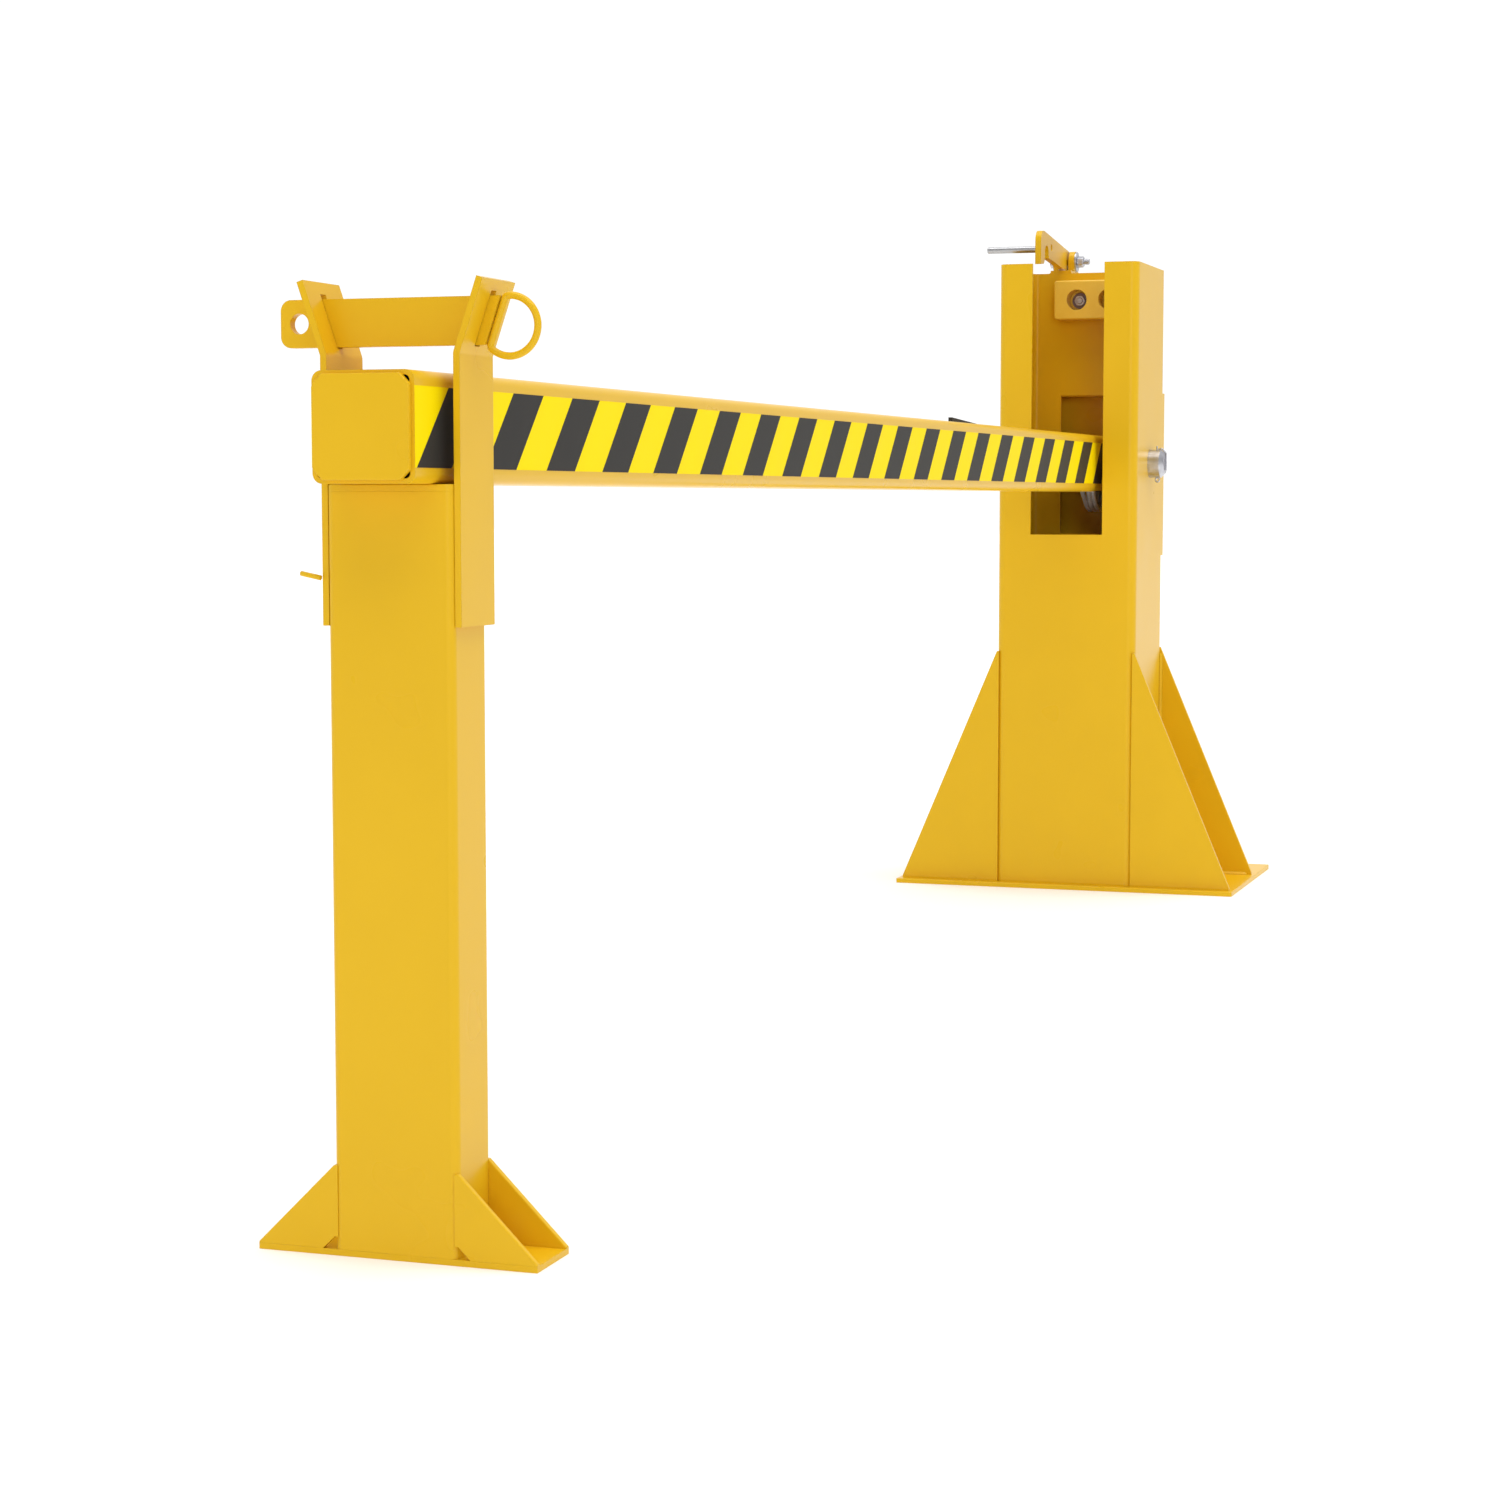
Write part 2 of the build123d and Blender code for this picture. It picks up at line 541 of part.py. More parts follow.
# ---------------------------------------------------------------- beam group (turns about the pivot pin)
SPRING_SLOT_X0, SPRING_SLOT_X1 = -92.0, 70.0    # slot in the tube's underside, for the spring
SPRING_SLOT_Y, SPRING_SLOT_W = -26.0, 40.0
with BuildPart() as beam_tube:
    with BuildSketch(Plane.YZ.offset(X_NEAR)):
        with Locations((0, Z_PIVOT)):
            RectangleRounded(BEAM, BEAM, BEAM_R)
            RectangleRounded(BEAM_IN, BEAM_IN, BEAM_R - BEAM_WALL, mode=Mode.SUBTRACT)
    extrude(amount=X_TAIL - X_NEAR)
    with Locations(((SPRING_SLOT_X0 + SPRING_SLOT_X1) / 2, SPRING_SLOT_Y, Z_PIVOT - BH)):
        Box(SPRING_SLOT_X1 - SPRING_SLOT_X0, SPRING_SLOT_W, 4 * BEAM_WALL, mode=Mode.SUBTRACT)
    with Locations(Location((0, 0, Z_PIVOT), (90, 0, 0))):
        Cylinder(HUB_R, 2 * BEAM, mode=Mode.SUBTRACT)
beam_tube.part.label = "beam_tube"
export_step(beam_tube.part, "parts/beam_tube.step")

with BuildPart() as beam_end_cap:
    with Locations((X_NEAR - CAP_T / 2, 0, Z_PIVOT)):
        Box(CAP_T, CAP, CAP)
    chamfer(beam_end_cap.edges().filter_by(Axis.X), CAP_CLIP)
    fillet(beam_end_cap.faces().sort_by(Axis.X)[0].edges(), EDGE)
beam_end_cap.part.label = "beam_end_cap"
export_step(beam_end_cap.part, "parts/beam_end_cap.step")

with BuildPart() as beam_tail_cap:
    with Locations((X_TAIL + CAP_T / 2, 0, Z_PIVOT)):
        Box(CAP_T, CAP, CAP)
    chamfer(beam_tail_cap.edges().filter_by(Axis.X), CAP_CLIP)
    fillet(beam_tail_cap.faces().sort_by(Axis.X)[-1].edges(), EDGE)
beam_tail_cap.part.label = "beam_tail_cap"
export_step(beam_tail_cap.part, "parts/beam_tail_cap.step")

with BuildPart() as pivot_hubs:
    for y0, y1 in HUB_SPANS:
        with Locations(Location((0, (y0 + y1) / 2, Z_PIVOT), (90, 0, 0))):
            Cylinder(HUB_R, y1 - y0)
            Cylinder(PIN_R + HUB_PLAY, BEAM, mode=Mode.SUBTRACT)
pivot_hubs.part.label = "pivot_hubs"
export_step(pivot_hubs.part, "parts/pivot_hubs.step")

with BuildPart() as hazard_tape_near:
    with Locations(((X_NEAR + TAPE_END) / 2, -BH - TAPE_T / 2, Z_PIVOT)):
        Box(TAPE_END - X_NEAR, TAPE_T, TAPE_H)
hazard_tape_near.part.label = "hazard_tape_near"
export_step(hazard_tape_near.part, "parts/hazard_tape_near.step")

with BuildPart() as hazard_tape_far:
    with Locations(((X_NEAR + TAPE_END_FAR) / 2, BH + TAPE_T / 2, Z_PIVOT)):
        Box(TAPE_END_FAR - X_NEAR, TAPE_T, TAPE_H)
hazard_tape_far.part.label = "hazard_tape_far"
export_step(hazard_tape_far.part, "parts/hazard_tape_far.step")

with BuildPart() as tape_stripes_near:
    with BuildSketch(Plane.XZ.offset(BH + TAPE_T)):
        for i in range(STRIPES):
            x = X_NEAR + STRIPE_X0 + i * STRIPE_PITCH
            with BuildLine():
                Polyline(
                    (x, Z_PIVOT - TAPE_H / 2),
                    (x + STRIPE_W, Z_PIVOT - TAPE_H / 2),
                    (min(x + STRIPE_W + STRIPE_LEAN, TAPE_END), Z_PIVOT + TAPE_H / 2),
                    (x + STRIPE_LEAN, Z_PIVOT + TAPE_H / 2),
                    close=True,
                )
            make_face()
    extrude(amount=STRIPE_T)
tape_stripes_near.part.label = "tape_stripes_near"
export_step(tape_stripes_near.part, "parts/tape_stripes_near.step")

with BuildPart() as tape_stripes_far:
    with BuildSketch(Plane.XZ.offset(-BH - TAPE_T - STRIPE_T)):
        for i in range(STRIPES_FAR):
            x = X_NEAR + STRIPE_X0 + i * STRIPE_PITCH
            with BuildLine():
                Polyline(
                    (x + STRIPE_LEAN, Z_PIVOT - TAPE_H / 2),
                    (x + STRIPE_W + STRIPE_LEAN, Z_PIVOT - TAPE_H / 2),
                    (x + STRIPE_W, Z_PIVOT + TAPE_H / 2),
                    (x, Z_PIVOT + TAPE_H / 2),
                    close=True,
                )
            make_face()
    extrude(amount=STRIPE_T)
tape_stripes_far.part.label = "tape_stripes_far"
export_step(tape_stripes_far.part, "parts/tape_stripes_far.step")

with BuildPart() as rubber_wedge:
    with BuildSketch(Plane.XZ.offset(-WEDGE_HALF)):
        with BuildLine():
            Polyline(
                (WEDGE_X0, Z_PIVOT + BH),
                (WEDGE_X1, Z_PIVOT + BH),
                (WEDGE_X1, Z_PIVOT + BH + WEDGE_LOW),
                (WEDGE_X0, Z_PIVOT + BH + WEDGE_HIGH),
                close=True,
            )
        make_face()
    extrude(amount=2 * WEDGE_HALF)
rubber_wedge.part.label = "rubber_wedge"
export_step(rubber_wedge.part, "parts/rubber_wedge.step")

# hold-open stud: drops into the hook's notch when the beam leans on the bumper
stud_s = -STUD_X * cos(radians(OPEN_DEG)) + STUD_Z * sin(radians(OPEN_DEG))
stud_n = STUD_X * sin(radians(OPEN_DEG)) + STUD_Z * cos(radians(OPEN_DEG))
with BuildPart() as hold_open_stud:
    with Locations(Location((-stud_s, (BH + STUD_Y) / 2, Z_PIVOT + stud_n), (90, 0, 0))):
        Cylinder(STUD_R, STUD_Y - BH)
    chamfer(hold_open_stud.edges().filter_by(GeomType.CIRCLE).sort_by(Axis.Y)[-1], STUD_R / 5)
hold_open_stud.part.label = "hold_open_stud"
export_step(hold_open_stud.part, "parts/hold_open_stud.step")


# balance spring: a torsion coil that hangs on the pin, with a leg under the beam's top wall
def coil_point(turn_deg):
    """Wire centre after turning turn_deg from the bottom of the coil towards the rear."""
    t = radians(turn_deg)
    y = SPRING_Y - SPRING_PITCH * turn_deg / 360
    return (SPRING_R * sin(t), y, SPRING_Z - SPRING_R * cos(t))


COIL_STEPS = 80
with BuildPart() as balance_spring:
    step_deg = (SPRING_LEAD + 360 * SPRING_TURNS) / COIL_STEPS
    pts = [coil_point(step_deg * i - SPRING_LEAD) for i in range(COIL_STEPS + 1)]
    with BuildLine() as coil:
        Spline(*pts)
    with BuildSketch(Plane(coil.line @ 0, z_dir=coil.line % 0)):
        Circle(WIRE_R)
    sweep(path=coil.line)
    with Locations(pts[0], pts[-1]):
        Sphere(WIRE_R)
    lead = radians(SPRING_LEAD)
    leg_end = (pts[0][0] - SPRING_LEG * cos(lead), pts[0][1], pts[0][2] + SPRING_LEG * sin(lead))
    with BuildLine() as spring_leg:
        Line(pts[0], leg_end)
    with BuildSketch(Plane(spring_leg.line @ 0, z_dir=spring_leg.line % 0)):
        Circle(WIRE_R)
    sweep(path=spring_leg.line)
balance_spring.part.label = "balance_spring"
export_step(balance_spring.part, "parts/balance_spring.step")

# ---------------------------------------------------------------- hook group (turns about its bolt)
NOSE = (-59.5, 1196.0)
HOOK_OUTLINE = (
    (-59.5, 1134.2),
    (-37.0, 1136.4),
    (NOTCH_X - NOTCH_R, 1143.5),
    (NOTCH_X - NOTCH_R, NOTCH_Z),
    (NOTCH_X + NOTCH_R, NOTCH_Z),
    (NOTCH_X + NOTCH_R, 1149.5),
    (HOOK_X - 2, HOOK_Z - HOOK_R),
    (HOOK_X + 2, HOOK_Z + HOOK_R),
    (-32.0, 1196.0),
    NOSE,
)


def from_nose(edge):
    return (edge.center().X - NOSE[0]) ** 2 + (edge.center().Z - NOSE[1]) ** 2


with BuildPart() as hold_open_hook:
    with BuildSketch(Plane.XZ.offset(-HOOK_Y1)):
        with BuildLine():
            Polyline(*HOOK_OUTLINE, close=True)
        make_face()
        with Locations((HOOK_X, HOOK_Z)):
            Circle(HOOK_R)
        with Locations((NOTCH_X, NOTCH_Z)):
            Circle(NOTCH_R, mode=Mode.SUBTRACT)
        with Locations((HOOK_HOLE_X, HOOK_HOLE_Z)):
            Circle(HOOK_HOLE_R, mode=Mode.SUBTRACT)
        with Locations((HOOK_X, HOOK_Z)):
            Circle(HOOK_BORE_R, mode=Mode.SUBTRACT)
    extrude(amount=HOOK_Y1 - HOOK_Y0)
    nose = hold_open_hook.edges().filter_by(Axis.Y)
    fillet(nose.sort_by(from_nose)[0], HOOK_NOSE_R)
hold_open_hook.part.label = "hold_open_hook"
export_step(hold_open_hook.part, "parts/hold_open_hook.step")

with BuildPart() as hook_handle:
    with Locations(Location((HANDLE_X, (HOOK_Y1 + HANDLE_END) / 2, HANDLE_Z), (90, 0, 0))):
        Cylinder(HANDLE_R, HANDLE_END - HOOK_Y1)
    chamfer(hook_handle.edges().filter_by(GeomType.CIRCLE).sort_by(Axis.Y)[-1], HANDLE_R / 5)
hook_handle.part.label = "hook_handle"
export_step(hook_handle.part, "parts/hook_handle.step")
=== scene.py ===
"""Swing-up dock barrier gate: finishes, fine hardware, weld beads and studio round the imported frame."""

import math

import bpy
import numpy as np
from mathutils import Matrix


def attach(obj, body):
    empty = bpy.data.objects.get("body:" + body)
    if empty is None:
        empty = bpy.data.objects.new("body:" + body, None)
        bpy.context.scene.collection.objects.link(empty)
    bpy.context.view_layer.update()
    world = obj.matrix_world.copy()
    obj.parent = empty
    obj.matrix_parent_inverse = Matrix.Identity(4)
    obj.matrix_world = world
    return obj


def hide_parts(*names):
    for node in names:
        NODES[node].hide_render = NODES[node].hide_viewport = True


bl_info = {
    "name": "Swing-up barrier gate",
    "version": (1, 0, 0),
    "blender": (4, 5, 0),
    "location": "View3D > Sidebar > Barrier Gate",
    "description": "Finishes, fine hardware, weld beads and studio for a swing-up dock barrier gate",
    "category": "Object",
}

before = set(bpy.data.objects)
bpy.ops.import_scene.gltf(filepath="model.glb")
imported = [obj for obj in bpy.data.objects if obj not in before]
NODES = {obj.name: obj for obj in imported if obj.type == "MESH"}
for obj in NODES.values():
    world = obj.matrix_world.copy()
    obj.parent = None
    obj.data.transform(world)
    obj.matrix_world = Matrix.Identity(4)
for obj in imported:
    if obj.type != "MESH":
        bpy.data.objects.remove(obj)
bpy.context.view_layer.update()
MM = 0.001             # made pieces are worked out in mm

COATED_NODES = (
    "hinge_post", "hinge_base_plate", "hinge_gussets", "rear_cover_box", "hook_bracket",
    "latch_post", "latch_post_cap", "latch_base_plate", "latch_gussets",
    "guide_plate_near", "guide_plate_far", "beam_tube", "beam_end_cap",
    "beam_tail_cap", "hold_open_stud", "latch_bar", "hold_open_hook", "spacer_sleeves",
    "pivot_hubs",
)
PLATED_NODES = ("pivot_pin", "hook_washers")

# ---------------------------------------------------------------- the gate's own dimensions, mm
POST_HALF = 127.0      # half the hinge post's width
POST_BASE_T = 8.0      # thickness of its base plate
TALL_GUSSET_T = 8.0
PIVOT_Z = 772.0        # height of the beam's pivot axis
LATCH_X = -2894.4      # middle of the latch post
LATCH_HALF = 63.5      # half its width
LATCH_BASE_T = 6.0
BAR_END_Y = -90.0      # ring end of the latch bar
GUIDE_LEAN = math.radians(19.0)    # how far the guide plates lean outwards


# ---------------------------------------------------------------- small helpers
def linear(hex_colour):
    """An sRGB hex colour as linear red, green, blue and alpha 1."""
    value = np.array([int(hex_colour[i:i + 2], 16) for i in (1, 3, 5)]) / 255
    low, high = value / 12.92, ((value + 0.055) / 1.055) ** 2.4
    return tuple(float(v) for v in np.where(value <= 0.04045, low, high)) + (1.0,)


def add_node(tree, kind, settings=None, inputs=None, links=None):
    """Adds one shader node: settings are its properties, inputs its values, links its incoming sockets."""
    node = tree.nodes.new(kind)
    for key, value in (settings or {}).items():
        setattr(node, key, value)
    for key, value in (inputs or {}).items():
        node.inputs[key].default_value = value
    for key, source in (links or {}).items():
        tree.links.new(source, node.inputs[key])
    return node


def new_material(name):
    """An empty node material with a Principled shader wired to its output."""
    material = bpy.data.materials.new(name)
    material.use_nodes = True
    tree = material.node_tree
    tree.nodes.clear()
    shader = add_node(tree, "ShaderNodeBsdfPrincipled")
    add_node(tree, "ShaderNodeOutputMaterial", links={"Surface": shader.outputs[0]})
    return material, tree, shader


def give_finish(nodes, material):
    """Puts one material on these CAD nodes."""
    for name in nodes:
        piece = NODES[name]
        piece.data.materials.clear()
        piece.data.materials.append(material)


def mesh_piece(name, points, faces):
    """A smooth-shaded mesh object at the origin, from an array of points in metres and its faces."""
    mesh = bpy.data.meshes.new(name)
    mesh.from_pydata(points.tolist(), [], faces)
    mesh.shade_smooth()
    mesh.update()
    piece = bpy.data.objects.new(name, mesh)
    bpy.context.scene.collection.objects.link(piece)
    return piece


def settle(piece, body, material, slot_name, *replaced):
    """Gives a made piece its finish and its body, and hides the CAD nodes that it stands for."""
    piece.data.materials.append(material)
    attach(piece, body)
    if replaced:
        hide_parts(*replaced)


def surface(grids, name, loop=False):
    """One object from several grids of points in mm, shape (n, m, 3): point (i, j) joins (i + 1, j) and
    (i, j + 1), and j runs on round to 0. The first and last rings are filled, or joined for a loop, so each
    grid is a closed skin."""
    points, faces, start = [], [], 0
    for grid in grids:
        n, m = grid.shape[:2]
        index = start + np.arange(n * m).reshape(n, m)
        after = np.roll(index, -1, axis=1)
        if loop:
            index, after = np.vstack((index, index[:1])), np.vstack((after, after[:1]))
        quads = np.stack((index[:-1], after[:-1], after[1:], index[1:]), axis=-1).reshape(-1, 4)
        faces += quads.tolist()
        if not loop:
            faces += [index[0, ::-1].tolist(), index[-1].tolist()]
        points.append(grid.reshape(-1, 3))
        start += n * m
    piece = mesh_piece(name, np.vstack(points) * MM, faces)
    # The filled rings are flat, so they are the only faces that aren't shaded smooth.
    flat = piece.data.attributes.new("sharp_face", "BOOLEAN", "FACE")
    flat.data.foreach_set("value", np.array([len(face) > 4 for face in faces]))
    return piece


def sampled(corners, step, loop=False):
    """Points every step mm or so along straight runs between corners (n, 2), by their running length."""
    run = np.concatenate(((0.0,), np.cumsum(np.linalg.norm(np.diff(corners, axis=0), axis=1))))
    s = np.linspace(0, run[-1], int(run[-1] / step), endpoint=not loop)
    return np.column_stack((np.interp(s, run, corners[:, 0]), np.interp(s, run, corners[:, 1])))


def smoothed(points, passes, loop=False):
    """Rounds a path's corners: each pass makes point i (P(i - 1) + 2 P(i) + P(i + 1)) / 4. An open path keeps
    its ends."""
    for _ in range(passes):
        eased = (np.roll(points, 1, axis=0) + 2 * points + np.roll(points, -1, axis=0)) / 4
        if not loop:
            eased[[0, -1]] = points[[0, -1]]
        points = eased
    return points


def tube(path, radius, sides, away, loop=False):
    """Round wire about a path: P(i, a) = path(i) + radius(i) (cos a u + sin a w), where u is the direction
    away made square to the path's tangent t, and w = u x t."""
    path = np.asarray(path, float)
    if loop:
        tangent = np.roll(path, -1, axis=0) - np.roll(path, 1, axis=0)
    else:
        tangent = np.gradient(path, axis=0)
    tangent /= np.linalg.norm(tangent, axis=1)[:, None]
    u = np.asarray(away, float) - (tangent @ np.asarray(away, float))[:, None] * tangent
    u /= np.linalg.norm(u, axis=1)[:, None]
    w = np.cross(u, tangent)
    a = np.linspace(0, 2 * np.pi, sides, endpoint=False)
    ring = np.cos(a)[None, :, None] * u[:, None] + np.sin(a)[None, :, None] * w[:, None]
    return (path[:, None] + np.broadcast_to(radius, len(path))[:, None, None] * ring)[:, ::-1]


def turned(spot, axis, along, radius):
    """A turned or forged piece about an axis: P(i, a) = spot + along(i) axis + radius(i, a) (cos a u +
    sin a w), with u and w square to the axis. along is (n,) and radius is (n, m), both in mm."""
    axis = np.asarray(axis, float)
    u = np.roll(axis, 1)
    w = np.cross(axis, u)
    a = np.linspace(0, 2 * np.pi, radius.shape[1], endpoint=False)
    ring = np.cos(a)[:, None] * u + np.sin(a)[:, None] * w
    return np.asarray(spot, float) + along[:, None, None] * axis + radius[:, :, None] * ring[None]


def place_looking(thing, spot, direction):
    """Puts a lamp or camera at a point, its -Z along direction and its X level."""
    back = -direction / np.linalg.norm(direction)
    right = np.cross((0, 0, 1), back)
    right = right / np.linalg.norm(right)
    upward = np.cross(back, right)
    columns = np.column_stack((right, upward, back, spot))
    thing.matrix_world = Matrix(np.vstack((columns, (0, 0, 0, 1))).tolist())


# ---------------------------------------------------------------- made pieces
SIDES = 72             # points round a bolt, so that the hexagon's corners fall on points
HEX_HALF = 9.2         # half the width across flats of an M12 hexagon
HEAD_HIGH = 7.5
BOLT_R = 6.0
TIP_R = 4.8            # radius of the chamfered tip
THREAD_PITCH = 1.75
THREAD_DEPTH = 0.95
THREAD_STEPS = 8       # rings to each turn of the thread
CHAMFER = math.radians(30.0)

BUMPER_BOLT_YS = (-30.0, 30.0)
BUMPER_BOLT_Z = 1077.5
BUMPER_TIP_X = 102.5
BUMPER_NUT_X = 105.0
BUMPER_NUT_HIGH = 6.5
BUMPER_SHANK = 24.5
BUMPER_THREAD = 16.0

HOOK_BOLT_X, HOOK_BOLT_Z = 172.0, 1154.5
HOOK_TIP_Y = 26.5
HOOK_NUT_Y = 37.0
HOOK_NUT_HIGH = 12.5
HOOK_SHANK = 67.0
HOOK_THREAD = 28.0


def hexagon(along, low, high):
    """Radius (n, m) of a hexagon between two chamfered ends: min(flat / cos(a mod 60 - 30), cone), where the
    cone meets the flats near their middle at each end."""
    a = np.linspace(0, 2 * np.pi, SIDES, endpoint=False)
    flats = HEX_HALF / np.cos((a % (np.pi / 3)) - np.pi / 6)
    cone = HEX_HALF * 0.97 + np.minimum(along - low, high - along)[:, None] / math.tan(CHAMFER)
    return np.minimum(flats[None], cone)


def threaded(along):
    """Radius (n, m) of a single-start thread: R - depth |2 frac(z / pitch - a / 2 pi) - 1|."""
    a = np.linspace(0, 1, SIDES, endpoint=False)
    turn = (along[:, None] / THREAD_PITCH - a[None]) % 1
    return BOLT_R - THREAD_DEPTH * np.abs(2 * turn - 1)


def bolt(spot, axis, shank, thread):
    """A hex bolt whose tip is at spot: a thread that starts at a chamfered tip, a plain shank and a chamfered
    head, as one turned skin."""
    cut = np.arange(0, thread, THREAD_PITCH / THREAD_STEPS)
    tip = np.clip(TIP_R + cut, 0, BOLT_R)[:, None]
    plain = np.array((thread, shank))
    crown = shank + np.array((0, 0.25, 0.5, 0.8, 0.9, 0.95, 1.0)) * HEAD_HIGH
    along = np.concatenate((cut, plain, crown))
    top_face = np.full((1, SIDES), HEX_HALF * 0.93)
    radius = np.vstack((
        np.minimum(threaded(cut), tip), np.full((2, SIDES), BOLT_R),
        hexagon(crown, shank, shank + HEAD_HIGH + 0.4)[:-1], top_face,
    ))
    return turned(spot, axis, along, radius)


def nut(spot, axis, height):
    """A hex nut that starts at spot, chamfered at both ends, about the bolt that fills it."""
    along = np.array((0, 0.04, 0.1, 0.2, 0.5, 0.8, 0.9, 0.96, 1.0)) * height
    return turned(spot, axis, along, hexagon(along, 0.0, height))


def bumper_fasteners():
    """Two M12 bolts through the post's back wall, each with its nut in a counterbore of the bumper."""
    grids = []
    for y in BUMPER_BOLT_YS:
        grids.append(bolt((BUMPER_TIP_X, y, BUMPER_BOLT_Z), (1, 0, 0), BUMPER_SHANK, BUMPER_THREAD))
        grids.append(nut((BUMPER_NUT_X, y, BUMPER_BOLT_Z), (1, 0, 0), BUMPER_NUT_HIGH))
    return surface(grids, "bumper_bolts_and_nuts")


def hook_fasteners():
    """The M12 bolt that the hook turns on, with its head on the far side and its nut on the near side."""
    screw = bolt((HOOK_BOLT_X, HOOK_TIP_Y, HOOK_BOLT_Z), (0, 1, 0), HOOK_SHANK, HOOK_THREAD)
    hex_nut = nut((HOOK_BOLT_X, HOOK_NUT_Y, HOOK_BOLT_Z), (0, 1, 0), HOOK_NUT_HIGH)
    return surface((screw, hex_nut), "hook_bolt_and_nut")


COTTER_Y = 141.0       # cotter holes, from the pin's middle
COTTER_R = 1.5
COTTER_TIP_R = 1.1
EYE_R = 3.6
EYE_Z = -29.6          # middle of the eye, from the pin's axis


def split_pins():
    """Split cotter pins through the pivot pin, each one folded wire in the YZ plane: the short leg stands
    over the pin, the eye hangs under it, and the long leg is bent over the pin's end. Points are (outwards
    from the hole, up from the pin's axis), sampled along the corners and smoothed."""
    a = np.radians(np.linspace(112, 428, 30))
    eye = np.column_stack((EYE_R * np.cos(a), EYE_Z + EYE_R * np.sin(a)))
    short_leg = np.array(((-1.5, 32.4), (-1.35, 27.0), (-1.35, -24.8)))
    long_leg = np.array(((1.35, -24.8), (1.35, 24.6), (3.0, 27.2), (8.0, 27.4), (15.6, 18.4), (15.7, -12.0)))
    fold = smoothed(sampled(np.vstack((short_leg, eye, long_leg)), 0.6), 5)
    out, high = fold[:, 0], fold[:, 1]
    radius = np.full(len(fold), COTTER_R)
    radius[[0, -1]] = COTTER_TIP_R
    grids = []
    for side in (-1, 1):
        path = np.column_stack((0 * out, side * (COTTER_Y + out), PIVOT_Z + high))
        grids.append(tube(path, radius, 16, (1, 0, 0)))
    return surface(grids, "split_cotter_pins")


RING_WIRE = 3.4        # wire radius
RING_HALF = 24.5       # half the flat side
RING_BULGE = 40.0      # how far the bow stands out from the flat side
RING_Z = 868.7
RING_SET = 3.2         # how far the flat side stands off the end point, square to the lean


def pull_ring():
    """The latch bar's D ring: an arc through three points and its chord, sampled and smoothed at the two
    corners, in the plane of the bar, its flat side leaning with the guide plate."""
    cos_lean, sin_lean = math.cos(GUIDE_LEAN), math.sin(GUIDE_LEAN)
    middle = np.array((BAR_END_Y - RING_SET / cos_lean, RING_Z))
    chord = np.array((-sin_lean, cos_lean))
    outward = np.array((-cos_lean, -sin_lean))
    radius = (RING_HALF**2 + RING_BULGE**2) / (2 * RING_BULGE)
    reach = math.pi - math.asin(RING_HALF / radius)
    a = np.linspace(-reach, reach, 90)[:, None]
    arc = middle + (RING_BULGE - radius + radius * np.cos(a)) * outward + radius * np.sin(a) * chord
    ring = smoothed(sampled(np.vstack((arc, arc[:1])), 0.8, loop=True), 16, loop=True)
    path = np.column_stack((np.full(len(ring), LATCH_X), ring))
    return surface((tube(path, RING_WIRE, 24, (1, 0, 0), loop=True),), "pull_ring_wire", loop=True)


PEG_BASE = (-2931.9, 69.6, 635.2)
PEG_TIP = (-2931.9, 90.2, 639.3)
PEG_R, PEG_TIP_R = 2.4, 1.8


def storage_peg():
    """The short round peg on the latch post's far side: straight from base to tip, with a chamfered tip."""
    base, tip = np.array(PEG_BASE), np.array(PEG_TIP)
    s = np.array((0.0, 0.5, 0.97, 1.0))[:, None]
    radius = np.array((PEG_R, PEG_R, PEG_R, PEG_TIP_R))
    return surface((tube(base + s * (tip - base), radius, 24, (1, 0, 0)),), "storage_peg_rod")


SPRING_LEAD = math.radians(33.0)   # turn of the coil at which the leg leaves it
SPRING_TURNS = 2.5
SPRING_R = 57.0
SPRING_PITCH = 8.6
SPRING_Y, SPRING_Z = -17.0, 745.0
SPRING_LEG = 212.0
SPRING_WIRE, SPRING_TIP = 4.0, 3.4     # wire radius, and its radius at the cut ends


def spring_coil():
    """The balance spring as one wire: a helix P(t) = (R sin t, y0 - p t / 2 pi, z0 - R cos t), with a
    straight leg that leaves it on its tangent and ends under the beam's top wall."""
    t = np.linspace(-SPRING_LEAD, SPRING_TURNS * 2 * np.pi, 300)
    drift = SPRING_Y - SPRING_PITCH * t / (2 * np.pi)
    helix = np.column_stack((SPRING_R * np.sin(t), drift, SPRING_Z - SPRING_R * np.cos(t)))
    s = np.linspace(SPRING_LEG, 2.0, 60)[:, None]
    leg = helix[0] + s * np.array((-math.cos(SPRING_LEAD), 0.0, math.sin(SPRING_LEAD)))
    path = np.vstack((leg, helix))
    radius = np.full(len(path), SPRING_WIRE)
    radius[[0, -1]] = SPRING_TIP
    return surface((tube(path, radius, 24, (0, 1, 0)),), "spring_wire")


BEAD_RIPPLE = 3.2      # spacing of the crescent ripples
BEAD_LAG = 1.4         # how far a ripple lags at the bead's middle
BEAD_SUNK = 0.4        # how far the fourth side is sunk in the corner


